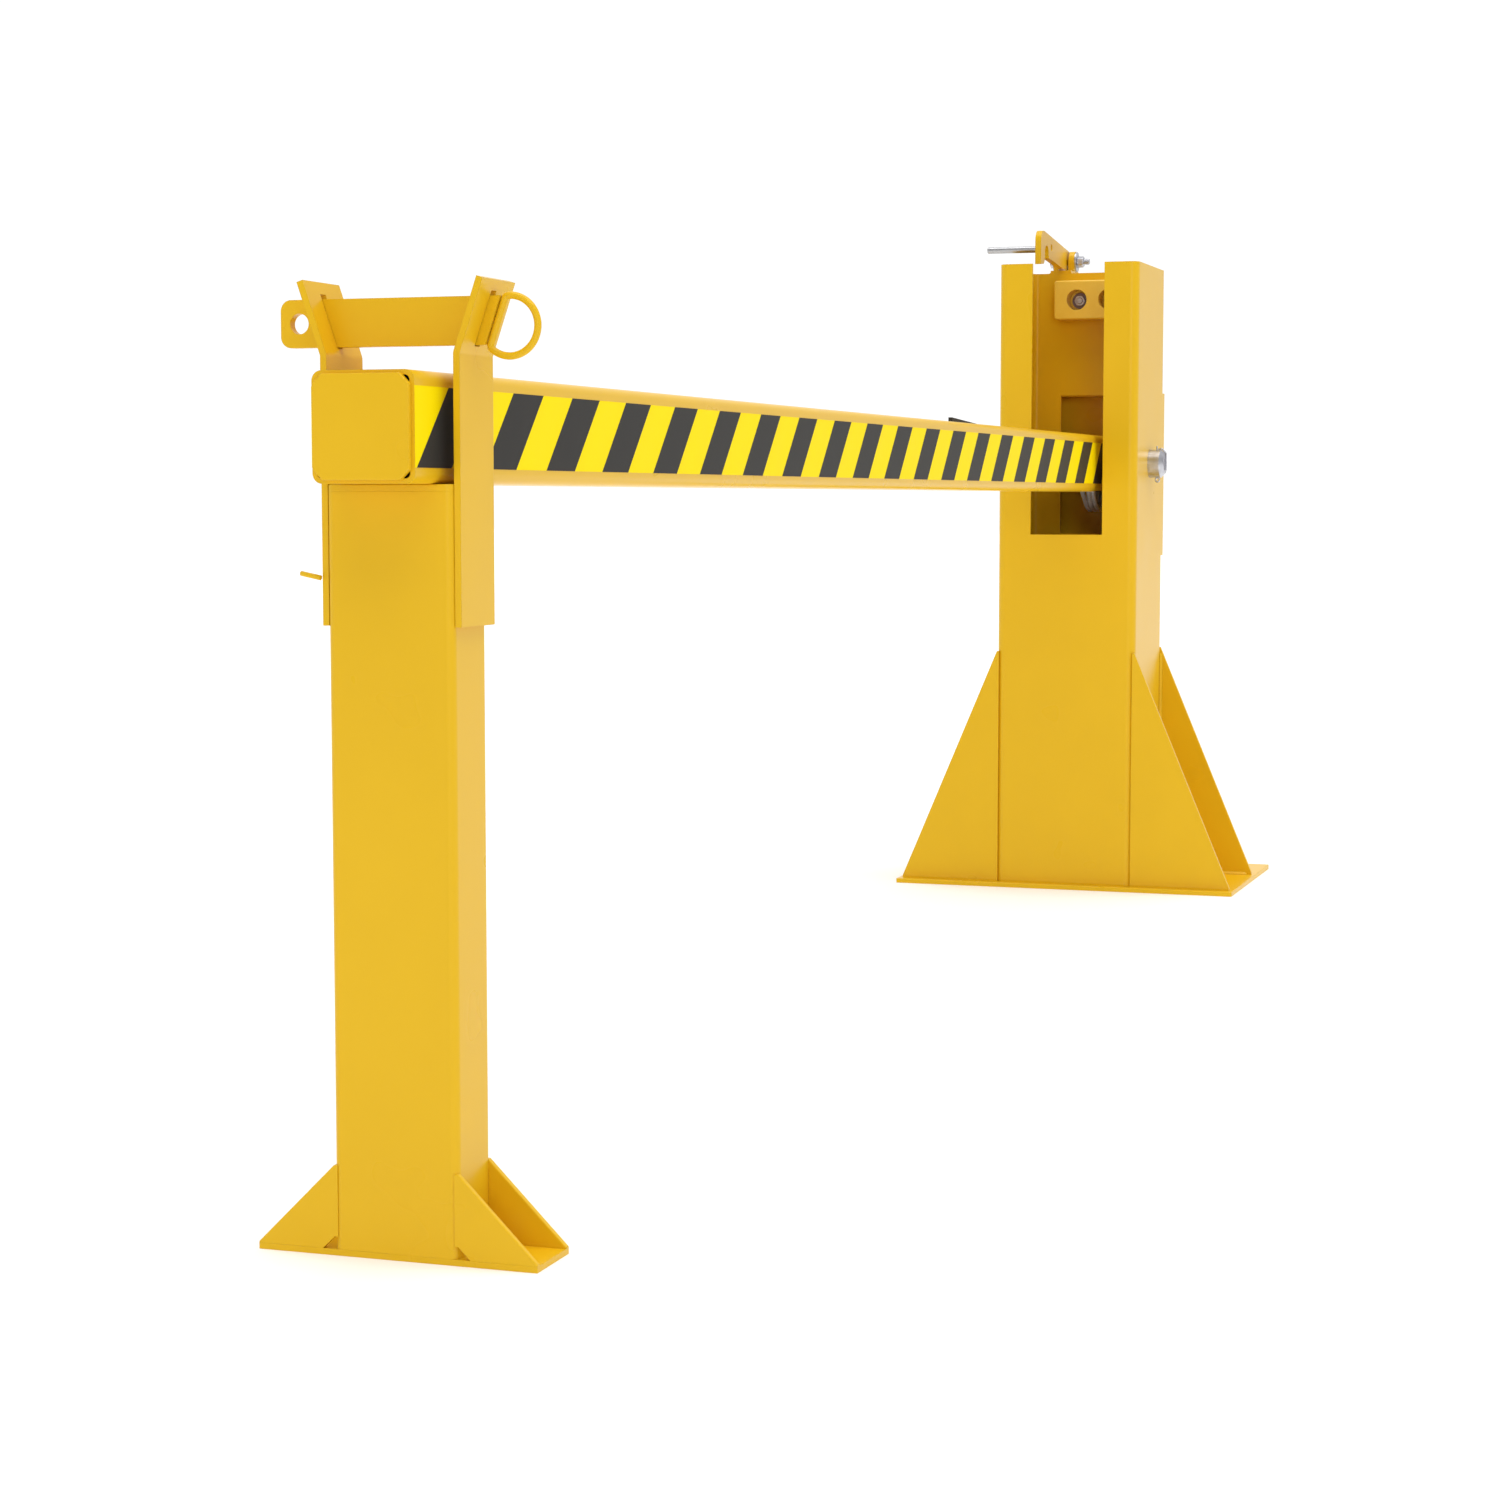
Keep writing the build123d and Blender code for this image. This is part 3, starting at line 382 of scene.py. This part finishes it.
def bead(start, end, first, second, leg):
    """A fillet weld bead from start to end in the corner of two plates, first and second pointing along them:
    P(s, a) = path(s) + leg r(s, a) (cos a first + sin a second), where r bulges 8 % past the flat chord and
    crescent ripples cross it. The fourth side is sunk in the corner."""
    start, end = np.asarray(start, float), np.asarray(end, float)
    first, second = np.asarray(first, float), np.asarray(second, float)
    length = np.linalg.norm(end - start)
    s = np.linspace(0, length, int(length / 0.8))
    a = np.linspace(0, np.pi / 2, 9)
    chord = 1 / (np.cos(a) + np.sin(a))
    lag = BEAD_LAG * np.sin(2 * a)
    ripple = np.abs(np.sin(np.pi * (s[:, None] - lag[None]) / BEAD_RIPPLE))
    wander = 1 + 0.03 * np.sin(s / 17.0) + 0.02 * np.sin(s / 5.3)
    ends = np.sqrt(np.clip(np.minimum(s, length - s) / leg, 0.02, 1))
    bulged = (chord * (1 + 0.08 * np.sin(2 * a)))[None]
    r = leg * bulged * (0.97 + 0.05 * ripple) * (wander * ends)[:, None]
    face = r[:, :, None] * (np.cos(a)[:, None] * first + np.sin(a)[:, None] * second)[None]
    sunk = np.broadcast_to(-BEAD_SUNK * (first + second), (len(s), 1, 3))
    path = start + s[:, None] / length * (end - start)
    grid = path[:, None] + np.concatenate((face, sunk), axis=1)
    turn = np.dot(np.cross(first, second), end - start)
    return grid[:, ::-1] if turn < 0 else grid


WIDE_LEG, MIDDLE_LEG, SMALL_LEG = 6.0, 5.0, 4.0    # sizes of the fillets
BASE_SEAM = 112.0      # half the weld along each side of the hinge post's base
SEAM_LOW, SEAM_HIGH = 24.0, 420.0      # weld up a tall gusset's inner seam
TOE_NEAR, TOE_FAR = 138.0, 296.0       # weld along its foot
LATCH_SEAM = (-2920.0, -2869.0)
BRACKET_Y, BRACKET_HALF = 71.5, 19.5
BRACKET_LOW, BRACKET_HIGH = 1054.0, 1132.0
COVER_SEAM = 100.0     # half the weld along the cover box's top and bottom
COVER_LOW, COVER_HIGH = 602.0, 905.0


def side_beads(side):
    """The fillets on one side: the hinge post's foot, its two tall gussets, the latch post and the bracket."""
    base, face = POST_BASE_T, POST_HALF - TALL_GUSSET_T
    wall, out, up = side * POST_HALF, (0, side, 0), (0, 0, 1)
    grids = [bead((-BASE_SEAM, wall, base), (BASE_SEAM, wall, base), out, up, WIDE_LEG)]
    for x, inward in ((-face, (1, 0, 0)), (face, (-1, 0, 0))):
        grids.append(bead((x, wall, SEAM_LOW), (x, wall, SEAM_HIGH), inward, out, MIDDLE_LEG))
        near, far = (x, side * TOE_NEAR, base), (x, side * TOE_FAR, base)
        grids.append(bead(near, far, inward, up, MIDDLE_LEG))
    left, right = ((x, side * LATCH_HALF, LATCH_BASE_T) for x in LATCH_SEAM)
    grids.append(bead(left, right, out, up, SMALL_LEG))
    ear = BRACKET_Y + side * BRACKET_HALF
    low, high = (POST_HALF, ear, BRACKET_LOW), (POST_HALF, ear, BRACKET_HIGH)
    grids.append(bead(low, high, (1, 0, 0), out, SMALL_LEG))
    return grids


def weld_beads():
    """The fillet welds behind the plates: the posts' feet, the gussets, the cover box and the bracket."""
    left, right = (POST_HALF, -BASE_SEAM, POST_BASE_T), (POST_HALF, BASE_SEAM, POST_BASE_T)
    grids = [bead(left, right, (1, 0, 0), (0, 0, 1), WIDE_LEG)]
    for side in (-1, 1):
        grids += side_beads(side)
    for z, up in ((COVER_LOW, -1), (COVER_HIGH, 1)):
        left, right = (POST_HALF, -COVER_SEAM, z), (POST_HALF, COVER_SEAM, z)
        grids.append(bead(left, right, (1, 0, 0), (0, 0, up), SMALL_LEG))
    return surface(grids, "weld_beads")


# ---------------------------------------------------------------- finishes
def gloss_powder_coat(finish):
    """Polyester powder coat, sprayed and baked on blasted steel: a thick, hard film that flows out with a
    faint orange peel and rounds every plate edge."""
    material, tree, shader = new_material("gloss_powder_coat_on_steel")
    place = add_node(tree, "ShaderNodeTexCoord").outputs["Object"]
    # Film thickness drifts over 120 mm or so, as the gun passes, by about 3 % of the colour.
    passes = add_node(
        tree, "ShaderNodeTexNoise", inputs={"Scale": 1 / (120 * MM), "Detail": 2.0}, links={"Vector": place}
    )
    colour = add_node(
        tree, "ShaderNodeMix", {"data_type": "RGBA"},
        {6: (*finish.coat_deep, 1), 7: (*finish.coat_colour, 1)}, {0: passes.outputs["Fac"]},
    )
    tree.links.new(colour.outputs[2], shader.inputs["Base Color"])
    # Orange peel cells are 1 to 2 mm wide, drawn 5 mm wide so that they show.
    peel = add_node(
        tree, "ShaderNodeTexNoise", inputs={"Scale": 1 / (5 * MM), "Detail": 1.0}, links={"Vector": place}
    )
    # The rolled tube walls and sheared plates are a hair out of flat over 60 mm.
    waves = add_node(
        tree, "ShaderNodeTexNoise", inputs={"Scale": 1 / (60 * MM), "Detail": 1.0}, links={"Vector": place}
    )
    rounded = add_node(tree, "ShaderNodeBevel", {"samples": 4}, {"Radius": finish.coat_edge})
    flatness = add_node(
        tree, "ShaderNodeBump", inputs={"Strength": 1.0, "Distance": 0.04 * MM},
        links={"Height": waves.outputs["Fac"], "Normal": rounded.outputs[0]},
    )
    skin = add_node(
        tree, "ShaderNodeBump", inputs={"Strength": 1.0, "Distance": finish.coat_peel},
        links={"Height": peel.outputs["Fac"], "Normal": flatness.outputs[0]},
    )
    tree.links.new(skin.outputs[0], shader.inputs["Normal"])
    haze = add_node(
        tree, "ShaderNodeMapRange", inputs={"To Min": 0.24, "To Max": 0.34},
        links={"Value": passes.outputs["Fac"]},
    )
    tree.links.new(haze.outputs[0], shader.inputs["Roughness"])
    shader.inputs["IOR"].default_value = 1.5
    # The film's shine is held low, so that faces turned to the light keep their colour.
    shader.inputs["Specular IOR Level"].default_value = 0.22
    return material


def zinc_plate(name, tint, cloudy):
    """Zinc electroplate on turned and forged steel, under a passivate film: a cool, slightly clouded metal."""
    material, tree, shader = new_material(name)
    place = add_node(tree, "ShaderNodeTexCoord").outputs["Object"]
    cloud = add_node(
        tree, "ShaderNodeTexNoise", inputs={"Scale": 1 / (9 * MM), "Detail": 3.0}, links={"Vector": place}
    )
    colour = add_node(
        tree, "ShaderNodeMix", {"data_type": "RGBA"},
        {6: cloudy, 7: tint}, {0: cloud.outputs["Fac"]},
    )
    tree.links.new(colour.outputs[2], shader.inputs["Base Color"])
    haze = add_node(
        tree, "ShaderNodeMapRange", inputs={"To Min": 0.24, "To Max": 0.42},
        links={"Value": cloud.outputs["Fac"]},
    )
    tree.links.new(haze.outputs[0], shader.inputs["Roughness"])
    grain = add_node(
        tree, "ShaderNodeTexNoise", inputs={"Scale": 1 / (0.8 * MM), "Detail": 2.0}, links={"Vector": place}
    )
    rounded = add_node(tree, "ShaderNodeBevel", {"samples": 4}, {"Radius": 0.4 * MM})
    skin = add_node(
        tree, "ShaderNodeBump", inputs={"Strength": 1.0, "Distance": 0.01 * MM},
        links={"Height": grain.outputs["Fac"], "Normal": rounded.outputs[0]},
    )
    tree.links.new(skin.outputs[0], shader.inputs["Normal"])
    shader.inputs["Metallic"].default_value = 1.0
    return material


def drawn_steel(name, tint, along, spacing, bare=1.0):
    """Cold-drawn steel, oiled: bright, with fine die lines that run along the axis that is given, or an even
    grain where the wire turns and there is no one axis. bare is how metallic it looks: below 1 the pale tint
    also shows as diffuse colour, which on the spring wire is painted light that brightens it in its dark slot."""
    material, tree, shader = new_material(name)
    place = add_node(tree, "ShaderNodeTexCoord").outputs["Object"]
    stretch = [1 / spacing] * 3
    if along is not None:
        stretch[along] = 1 / (spacing * 60)
    lined = add_node(tree, "ShaderNodeMapping", inputs={"Scale": stretch}, links={"Vector": place})
    lines = add_node(
        tree, "ShaderNodeTexNoise", inputs={"Scale": 1.0, "Detail": 3.0}, links={"Vector": lined.outputs[0]}
    )
    colour = add_node(
        tree, "ShaderNodeMix", {"data_type": "RGBA"},
        {6: linear("#A6A4A3"), 7: tint}, {0: lines.outputs["Fac"]},
    )
    tree.links.new(colour.outputs[2], shader.inputs["Base Color"])
    haze = add_node(
        tree, "ShaderNodeMapRange", inputs={"To Min": 0.22, "To Max": 0.45},
        links={"Value": lines.outputs["Fac"]},
    )
    tree.links.new(haze.outputs[0], shader.inputs["Roughness"])
    skin = add_node(
        tree, "ShaderNodeBump", inputs={"Strength": 0.6, "Distance": 0.02 * MM},
        links={"Height": lines.outputs["Fac"]},
    )
    tree.links.new(skin.outputs[0], shader.inputs["Normal"])
    shader.inputs["Metallic"].default_value = bare
    return material


def vinyl_tape(name, tint, deep, gloss):
    """Printed vinyl hazard tape under a clear satin film: even, strong colour, with faint squeegee ripples."""
    material, tree, shader = new_material(name)
    place = add_node(tree, "ShaderNodeTexCoord").outputs["Object"]
    # Squeegee ripples run across the tape every 35 mm or so.
    stretched = add_node(
        tree, "ShaderNodeMapping", inputs={"Scale": (1 / (35 * MM), 1.0, 1 / (140 * MM))},
        links={"Vector": place},
    )
    ripples = add_node(
        tree, "ShaderNodeTexNoise", inputs={"Scale": 1.0, "Detail": 2.0},
        links={"Vector": stretched.outputs[0]},
    )
    colour = add_node(
        tree, "ShaderNodeMix", {"data_type": "RGBA"}, {6: deep, 7: tint}, {0: ripples.outputs["Fac"]}
    )
    tree.links.new(colour.outputs[2], shader.inputs["Base Color"])
    # The film's own tooth is well under 1 mm, drawn 2 mm wide so that it shows.
    tooth = add_node(
        tree, "ShaderNodeTexNoise", inputs={"Scale": 1 / (2 * MM), "Detail": 1.0}, links={"Vector": place}
    )
    laid = add_node(
        tree, "ShaderNodeBump", inputs={"Strength": 1.0, "Distance": 0.06 * MM},
        links={"Height": ripples.outputs["Fac"]},
    )
    skin = add_node(
        tree, "ShaderNodeBump", inputs={"Strength": 1.0, "Distance": 0.004 * MM},
        links={"Height": tooth.outputs["Fac"], "Normal": laid.outputs[0]},
    )
    tree.links.new(skin.outputs[0], shader.inputs["Normal"])
    haze = add_node(
        tree, "ShaderNodeMapRange", inputs={"To Min": 0.38, "To Max": 0.48},
        links={"Value": ripples.outputs["Fac"]},
    )
    tree.links.new(haze.outputs[0], shader.inputs["Roughness"])
    shader.inputs["IOR"].default_value = 1.46
    shader.inputs["Specular IOR Level"].default_value = gloss
    return material


def moulded_rubber(name, tint, worn, roughness, grit):
    """Moulded rubber or polyurethane with a fine spark-eroded mould texture: matt to satin, a little paler
    where it is rubbed."""
    material, tree, shader = new_material(name)
    place = add_node(tree, "ShaderNodeTexCoord").outputs["Object"]
    rubbed = add_node(
        tree, "ShaderNodeTexNoise", inputs={"Scale": 1 / (18 * MM), "Detail": 4.0}, links={"Vector": place}
    )
    colour = add_node(
        tree, "ShaderNodeMix", {"data_type": "RGBA"}, {6: tint, 7: worn}, {0: rubbed.outputs["Fac"]}
    )
    tree.links.new(colour.outputs[2], shader.inputs["Base Color"])
    texture = add_node(
        tree, "ShaderNodeTexNoise", inputs={"Scale": 1 / grit, "Detail": 2.0}, links={"Vector": place}
    )
    rounded = add_node(tree, "ShaderNodeBevel", {"samples": 4}, {"Radius": 1.2 * MM})
    skin = add_node(
        tree, "ShaderNodeBump", inputs={"Strength": 1.0, "Distance": 0.05 * MM},
        links={"Height": texture.outputs["Fac"], "Normal": rounded.outputs[0]},
    )
    tree.links.new(skin.outputs[0], shader.inputs["Normal"])
    shader.inputs["Roughness"].default_value = roughness
    shader.inputs["IOR"].default_value = 1.52
    return material


# ---------------------------------------------------------------- settings
class GateFinish(bpy.types.PropertyGroup):
    """Colours and film of the gate's finishes."""

    coat_colour: bpy.props.FloatVectorProperty(
        name="Powder coat", description="Yellow of the powder coat where the film is full", size=3,
        subtype="COLOR", min=0, max=1, default=linear("#E5B71A")[:3],
    )
    coat_deep: bpy.props.FloatVectorProperty(
        name="Powder coat, deep", description="Yellow of the powder coat where the film is thickest", size=3,
        subtype="COLOR", min=0, max=1, default=linear("#DFB116")[:3],
    )
    coat_edge: bpy.props.FloatProperty(
        name="Edge round", description="Radius that the film gives a plate's edge", default=0.9 * MM,
        min=0, soft_max=3 * MM, subtype="DISTANCE", unit="LENGTH", precision=5,
    )
    coat_peel: bpy.props.FloatProperty(
        name="Orange peel", description="Height of the orange peel", default=0.012 * MM,
        min=0, soft_max=0.2 * MM, subtype="DISTANCE", unit="LENGTH", precision=6,
    )
    zinc_colour: bpy.props.FloatVectorProperty(
        name="Zinc", description="Colour of the zinc plate", size=3,
        subtype="COLOR", min=0, max=1, default=linear("#D6D6DB")[:3],
    )
    tape_yellow: bpy.props.FloatVectorProperty(
        name="Tape yellow", description="Yellow of the hazard tape", size=3,
        subtype="COLOR", min=0, max=1, default=linear("#FDE204")[:3],
    )
    tape_black: bpy.props.FloatVectorProperty(
        name="Tape black", description="Black of the hazard tape", size=3,
        subtype="COLOR", min=0, max=1, default=linear("#3A3835")[:3],
    )


class GateStudio(bpy.types.PropertyGroup):
    """Camera, floor and light of the studio."""

    lens: bpy.props.FloatProperty(
        name="Lens", description="Focal length on a 36 mm sensor", default=71.19, min=10, max=300,
        subtype="DISTANCE_CAMERA", unit="CAMERA",
    )
    heading: bpy.props.FloatProperty(
        name="Heading", description="Turn of the view from +X towards +Y",
        default=math.radians(18.7247), subtype="ANGLE", unit="ROTATION",
    )
    dip: bpy.props.FloatProperty(
        name="Dip", description="How far the view looks down",
        default=math.radians(4.8336), subtype="ANGLE", unit="ROTATION",
    )
    sky_front: bpy.props.FloatProperty(
        name="Sky, camera side", description="Strength of the surround on the camera's side", default=0.42,
        min=0, max=5,
    )
    sky_side: bpy.props.FloatProperty(
        name="Sky, sides", description="Strength of the surround at the sides", default=0.79, min=0, max=5,
    )
    sky_back: bpy.props.FloatProperty(
        name="Sky, behind", description="Strength of the white surround behind the gate", default=1.06,
        min=0, max=5,
    )
    ceiling: bpy.props.FloatProperty(
        name="Ceiling", description="Strength of the soft light from above", default=2.2, min=0, max=20,
    )
    fill: bpy.props.FloatProperty(
        name="Fill", description="Strength of the fill light from beside the camera", default=0.3,
        min=0, max=20,
    )
    ceiling_spread: bpy.props.FloatProperty(
        name="Ceiling spread", description="Angle across the soft light from above",
        default=math.radians(60), subtype="ANGLE", unit="ROTATION",
    )
    floor_half: bpy.props.FloatProperty(
        name="Floor", description="Half width of the studio floor", default=60.0, min=5,
        subtype="DISTANCE", unit="LENGTH",
    )


# ---------------------------------------------------------------- operators
class GATE_OT_powder_coat(bpy.types.Operator):
    """Coats the posts, plates, welds, beam, hubs, latch bar, ring, peg and hook with yellow powder coat"""

    bl_idname = "gate.powder_coat"
    bl_label = "Powder coat"

    def execute(self, context):
        coat = gloss_powder_coat(context.scene.gate_finish)
        give_finish(COATED_NODES, coat)
        settle(weld_beads(), "posts", coat, "yellow_powder_coat")
        settle(storage_peg(), "posts", coat, "yellow_powder_coat", "storage_peg")
        settle(pull_ring(), "latch_bar", coat, "yellow_powder_coat", "pull_ring")
        return {"FINISHED"}


class GATE_OT_plated_parts(bpy.types.Operator):
    """Plates the pin, bolts, nuts, washers and cotters with zinc"""

    bl_idname = "gate.plated_parts"
    bl_label = "Zinc plated parts"

    def execute(self, context):
        finish = context.scene.gate_finish
        zinc = zinc_plate("bright_zinc_plated_steel", (*finish.zinc_colour, 1), linear("#A9A8AE"))
        # The bumper's washers take a darkened, purple-grey zinc: painted shade for the inside of the
        # counterbores that they sit in.
        washer_in_painted_shade = zinc_plate("zinc_washer_with_painted_shade", linear("#8A7C7E"), linear("#6B5E60"))
        give_finish(PLATED_NODES, zinc)
        give_finish(("bumper_washers",), washer_in_painted_shade)
        settle(bumper_fasteners(), "posts", zinc, "zinc_plated_steel", "bumper_bolts", "bumper_nuts")
        settle(hook_fasteners(), "posts", zinc, "zinc_plated_steel", "hook_bolt", "hook_nut")
        settle(split_pins(), "posts", zinc, "zinc_plated_steel", "pin_cotters")
        return {"FINISHED"}


class GATE_OT_bare_steel(bpy.types.Operator):
    """Finishes the hook's handle and the balance spring as drawn steel"""

    bl_idname = "gate.bare_steel"
    bl_label = "Handle and spring"

    def execute(self, context):
        bar = drawn_steel("cold_drawn_steel_bar", linear("#C3C4C8"), 1, 0.6 * MM)
        # The spring wire's near-white tint with bare at 0.55 is partly its own pale steel and partly painted
        # light: its diffuse share brightens the wire in the hinge post's dark slot.
        wire = drawn_steel("spring_wire_with_painted_light", linear("#F2ECE2"), None, 1.5 * MM, bare=0.55)
        give_finish(("hook_handle",), bar)
        settle(spring_coil(), "beam", wire, "spring_steel", "balance_spring")
        return {"FINISHED"}


class GATE_OT_hazard_tape(bpy.types.Operator):
    """Lays the yellow and black vinyl tape on the beam's two sides"""

    bl_idname = "gate.hazard_tape"
    bl_label = "Hazard tape"

    def execute(self, context):
        finish = context.scene.gate_finish
        yellow = vinyl_tape("yellow_vinyl_tape", (*finish.tape_yellow, 1), linear("#FADE02"), 0.03)
        black = vinyl_tape("black_vinyl_tape", (*finish.tape_black, 1), linear("#2F2D2B"), 0.06)
        give_finish(("hazard_tape_near", "hazard_tape_far"), yellow)
        give_finish(("tape_stripes_near", "tape_stripes_far"), black)
        return {"FINISHED"}


class GATE_OT_rubber(bpy.types.Operator):
    """Finishes the bumper block and the wedge on the beam as moulded rubber"""

    bl_idname = "gate.rubber"
    bl_label = "Bumper and wedge"

    def execute(self, context):
        bumper = moulded_rubber(
            "yellow_moulded_polyurethane", linear("#F3C63A"), linear("#F7CE48"), 0.42, 1.6 * MM
        )
        wedge = moulded_rubber("black_moulded_rubber", linear("#1F1F1F"), linear("#2A2A2A"), 0.7, 1.2 * MM)
        give_finish(("bumper_block",), bumper)
        give_finish(("rubber_wedge",), wedge)
        return {"FINISHED"}


# The hinge post is on the far side of the view, and white lies behind it along this direction.
BEHIND_GATE = (0.93, 0.35, 0.0)
CEILING_AIM = (0.10, 0.16, -1.0)
FILL_AIM = (0.93, 0.33, -0.16)
FILL_SPREAD = math.radians(12.0)
LAMP_SPOT = (0.0, 0.0, 6.0)
CAMERA_SPOT = (-5.398, -1.184, 0.7075)
SENSOR = 36.0          # width of the camera's sensor, mm
FARTHEST = 200.0       # how far the camera sees, m


def pale_floor(half):
    """The studio floor: one square, z = 0, from -half to half in metres."""
    corners = np.array([(-half, -half, 0), (half, -half, 0), (half, half, 0), (-half, half, 0)], float)
    floor = mesh_piece("studio_floor", corners, [(0, 1, 2, 3)])
    pale, _, shader = new_material("pale_studio_floor")
    shader.inputs["Base Color"].default_value = linear("#FAFAF9")
    shader.inputs["Roughness"].default_value = 0.9
    shader.inputs["Specular IOR Level"].default_value = 0.1
    floor.data.materials.append(pale)


def white_surround(scene, studio):
    """A surround that is white behind the gate, and dimmer on the camera's side so that faces turned to it
    stay deep."""
    world = bpy.data.worlds.new("white_surround")
    scene.world = world
    world.use_nodes = True
    tree = world.node_tree
    tree.nodes.clear()
    ray = add_node(tree, "ShaderNodeTexCoord").outputs["Generated"]
    facing = add_node(
        tree, "ShaderNodeVectorMath", {"operation": "DOT_PRODUCT"}, {1: BEHIND_GATE}, {0: ray}
    ).outputs["Value"]
    sides = add_node(
        tree, "ShaderNodeMapRange",
        inputs={"From Min": -1.0, "From Max": 0.8, "To Min": studio.sky_front, "To Max": studio.sky_side},
        links={"Value": facing},
    )
    rest = studio.sky_back - studio.sky_side
    behind = add_node(
        tree, "ShaderNodeMapRange",
        inputs={"From Min": 0.8, "From Max": 0.94, "To Min": 0.0, "To Max": rest},
        links={"Value": facing},
    )
    strength = add_node(
        tree, "ShaderNodeMath", {"operation": "ADD"}, None, {0: sides.outputs[0], 1: behind.outputs[0]}
    )
    sky = add_node(
        tree, "ShaderNodeBackground", inputs={"Color": (1, 1, 1, 1)}, links={"Strength": strength.outputs[0]}
    )
    add_node(tree, "ShaderNodeOutputWorld", links={"Surface": sky.outputs[0]})


def soft_lights(scene, studio):
    """A wide soft light from above and a narrower fill from beside the camera."""
    for name, energy, spread, aim in (
        ("soft_ceiling", studio.ceiling, studio.ceiling_spread, CEILING_AIM),
        ("front_fill", studio.fill, FILL_SPREAD, FILL_AIM),
    ):
        lamp = bpy.data.lights.new(name, "SUN")
        lamp.energy = energy
        lamp.angle = spread
        lamp_object = bpy.data.objects.new(name, lamp)
        scene.collection.objects.link(lamp_object)
        place_looking(lamp_object, np.array(LAMP_SPOT), np.array(aim))


def studio_camera(scene, studio):
    """The camera at eye level beyond the latch post, looking along the beam."""
    camera = bpy.data.cameras.new("camera")
    camera.lens = studio.lens
    camera.sensor_width = SENSOR
    camera.clip_end = FARTHEST
    camera_object = bpy.data.objects.new("camera", camera)
    scene.collection.objects.link(camera_object)
    scene.camera = camera_object
    level = math.cos(studio.dip)
    aim = (math.cos(studio.heading) * level, math.sin(studio.heading) * level, -math.sin(studio.dip))
    place_looking(camera_object, np.array(CAMERA_SPOT), np.array(aim))


class GATE_OT_studio(bpy.types.Operator):
    """Builds the pale floor, the white surround, the soft lights and the camera"""

    bl_idname = "gate.studio"
    bl_label = "Studio"

    def execute(self, context):
        scene, studio = context.scene, context.scene.gate_studio
        pale_floor(studio.floor_half)
        white_surround(scene, studio)
        soft_lights(scene, studio)
        studio_camera(scene, studio)
        scene.view_settings.view_transform = "Standard"
        return {"FINISHED"}


class GATE_PT_looks(bpy.types.Panel):
    """Lists the gate's operators and settings in the sidebar"""

    bl_label = "Barrier gate"
    bl_idname = "GATE_PT_looks"
    bl_space_type = "VIEW_3D"
    bl_region_type = "UI"
    bl_category = "Barrier Gate"

    def draw(self, context):
        layout = self.layout
        for operator in OPERATORS:
            layout.operator(operator.bl_idname)
        for settings in (context.scene.gate_finish, context.scene.gate_studio):
            for name in settings.__annotations__:
                layout.prop(settings, name)


OPERATORS = (
    GATE_OT_powder_coat, GATE_OT_plated_parts, GATE_OT_bare_steel, GATE_OT_hazard_tape, GATE_OT_rubber,
    GATE_OT_studio,
)
CLASSES = (GateFinish, GateStudio, *OPERATORS, GATE_PT_looks)


def register():
    """Registers the classes and hangs the settings on the scene."""
    for cls in CLASSES:
        bpy.utils.register_class(cls)
    bpy.types.Scene.gate_finish = bpy.props.PointerProperty(type=GateFinish)
    bpy.types.Scene.gate_studio = bpy.props.PointerProperty(type=GateStudio)


def unregister():
    """Takes the settings off the scene and unregisters the classes."""
    del bpy.types.Scene.gate_studio
    del bpy.types.Scene.gate_finish
    for cls in reversed(CLASSES):
        bpy.utils.unregister_class(cls)


def main():
    register()
    for operator in OPERATORS:
        group, name = operator.bl_idname.split(".")
        getattr(getattr(bpy.ops, group), name)()


if __name__ == "__main__":
    main()
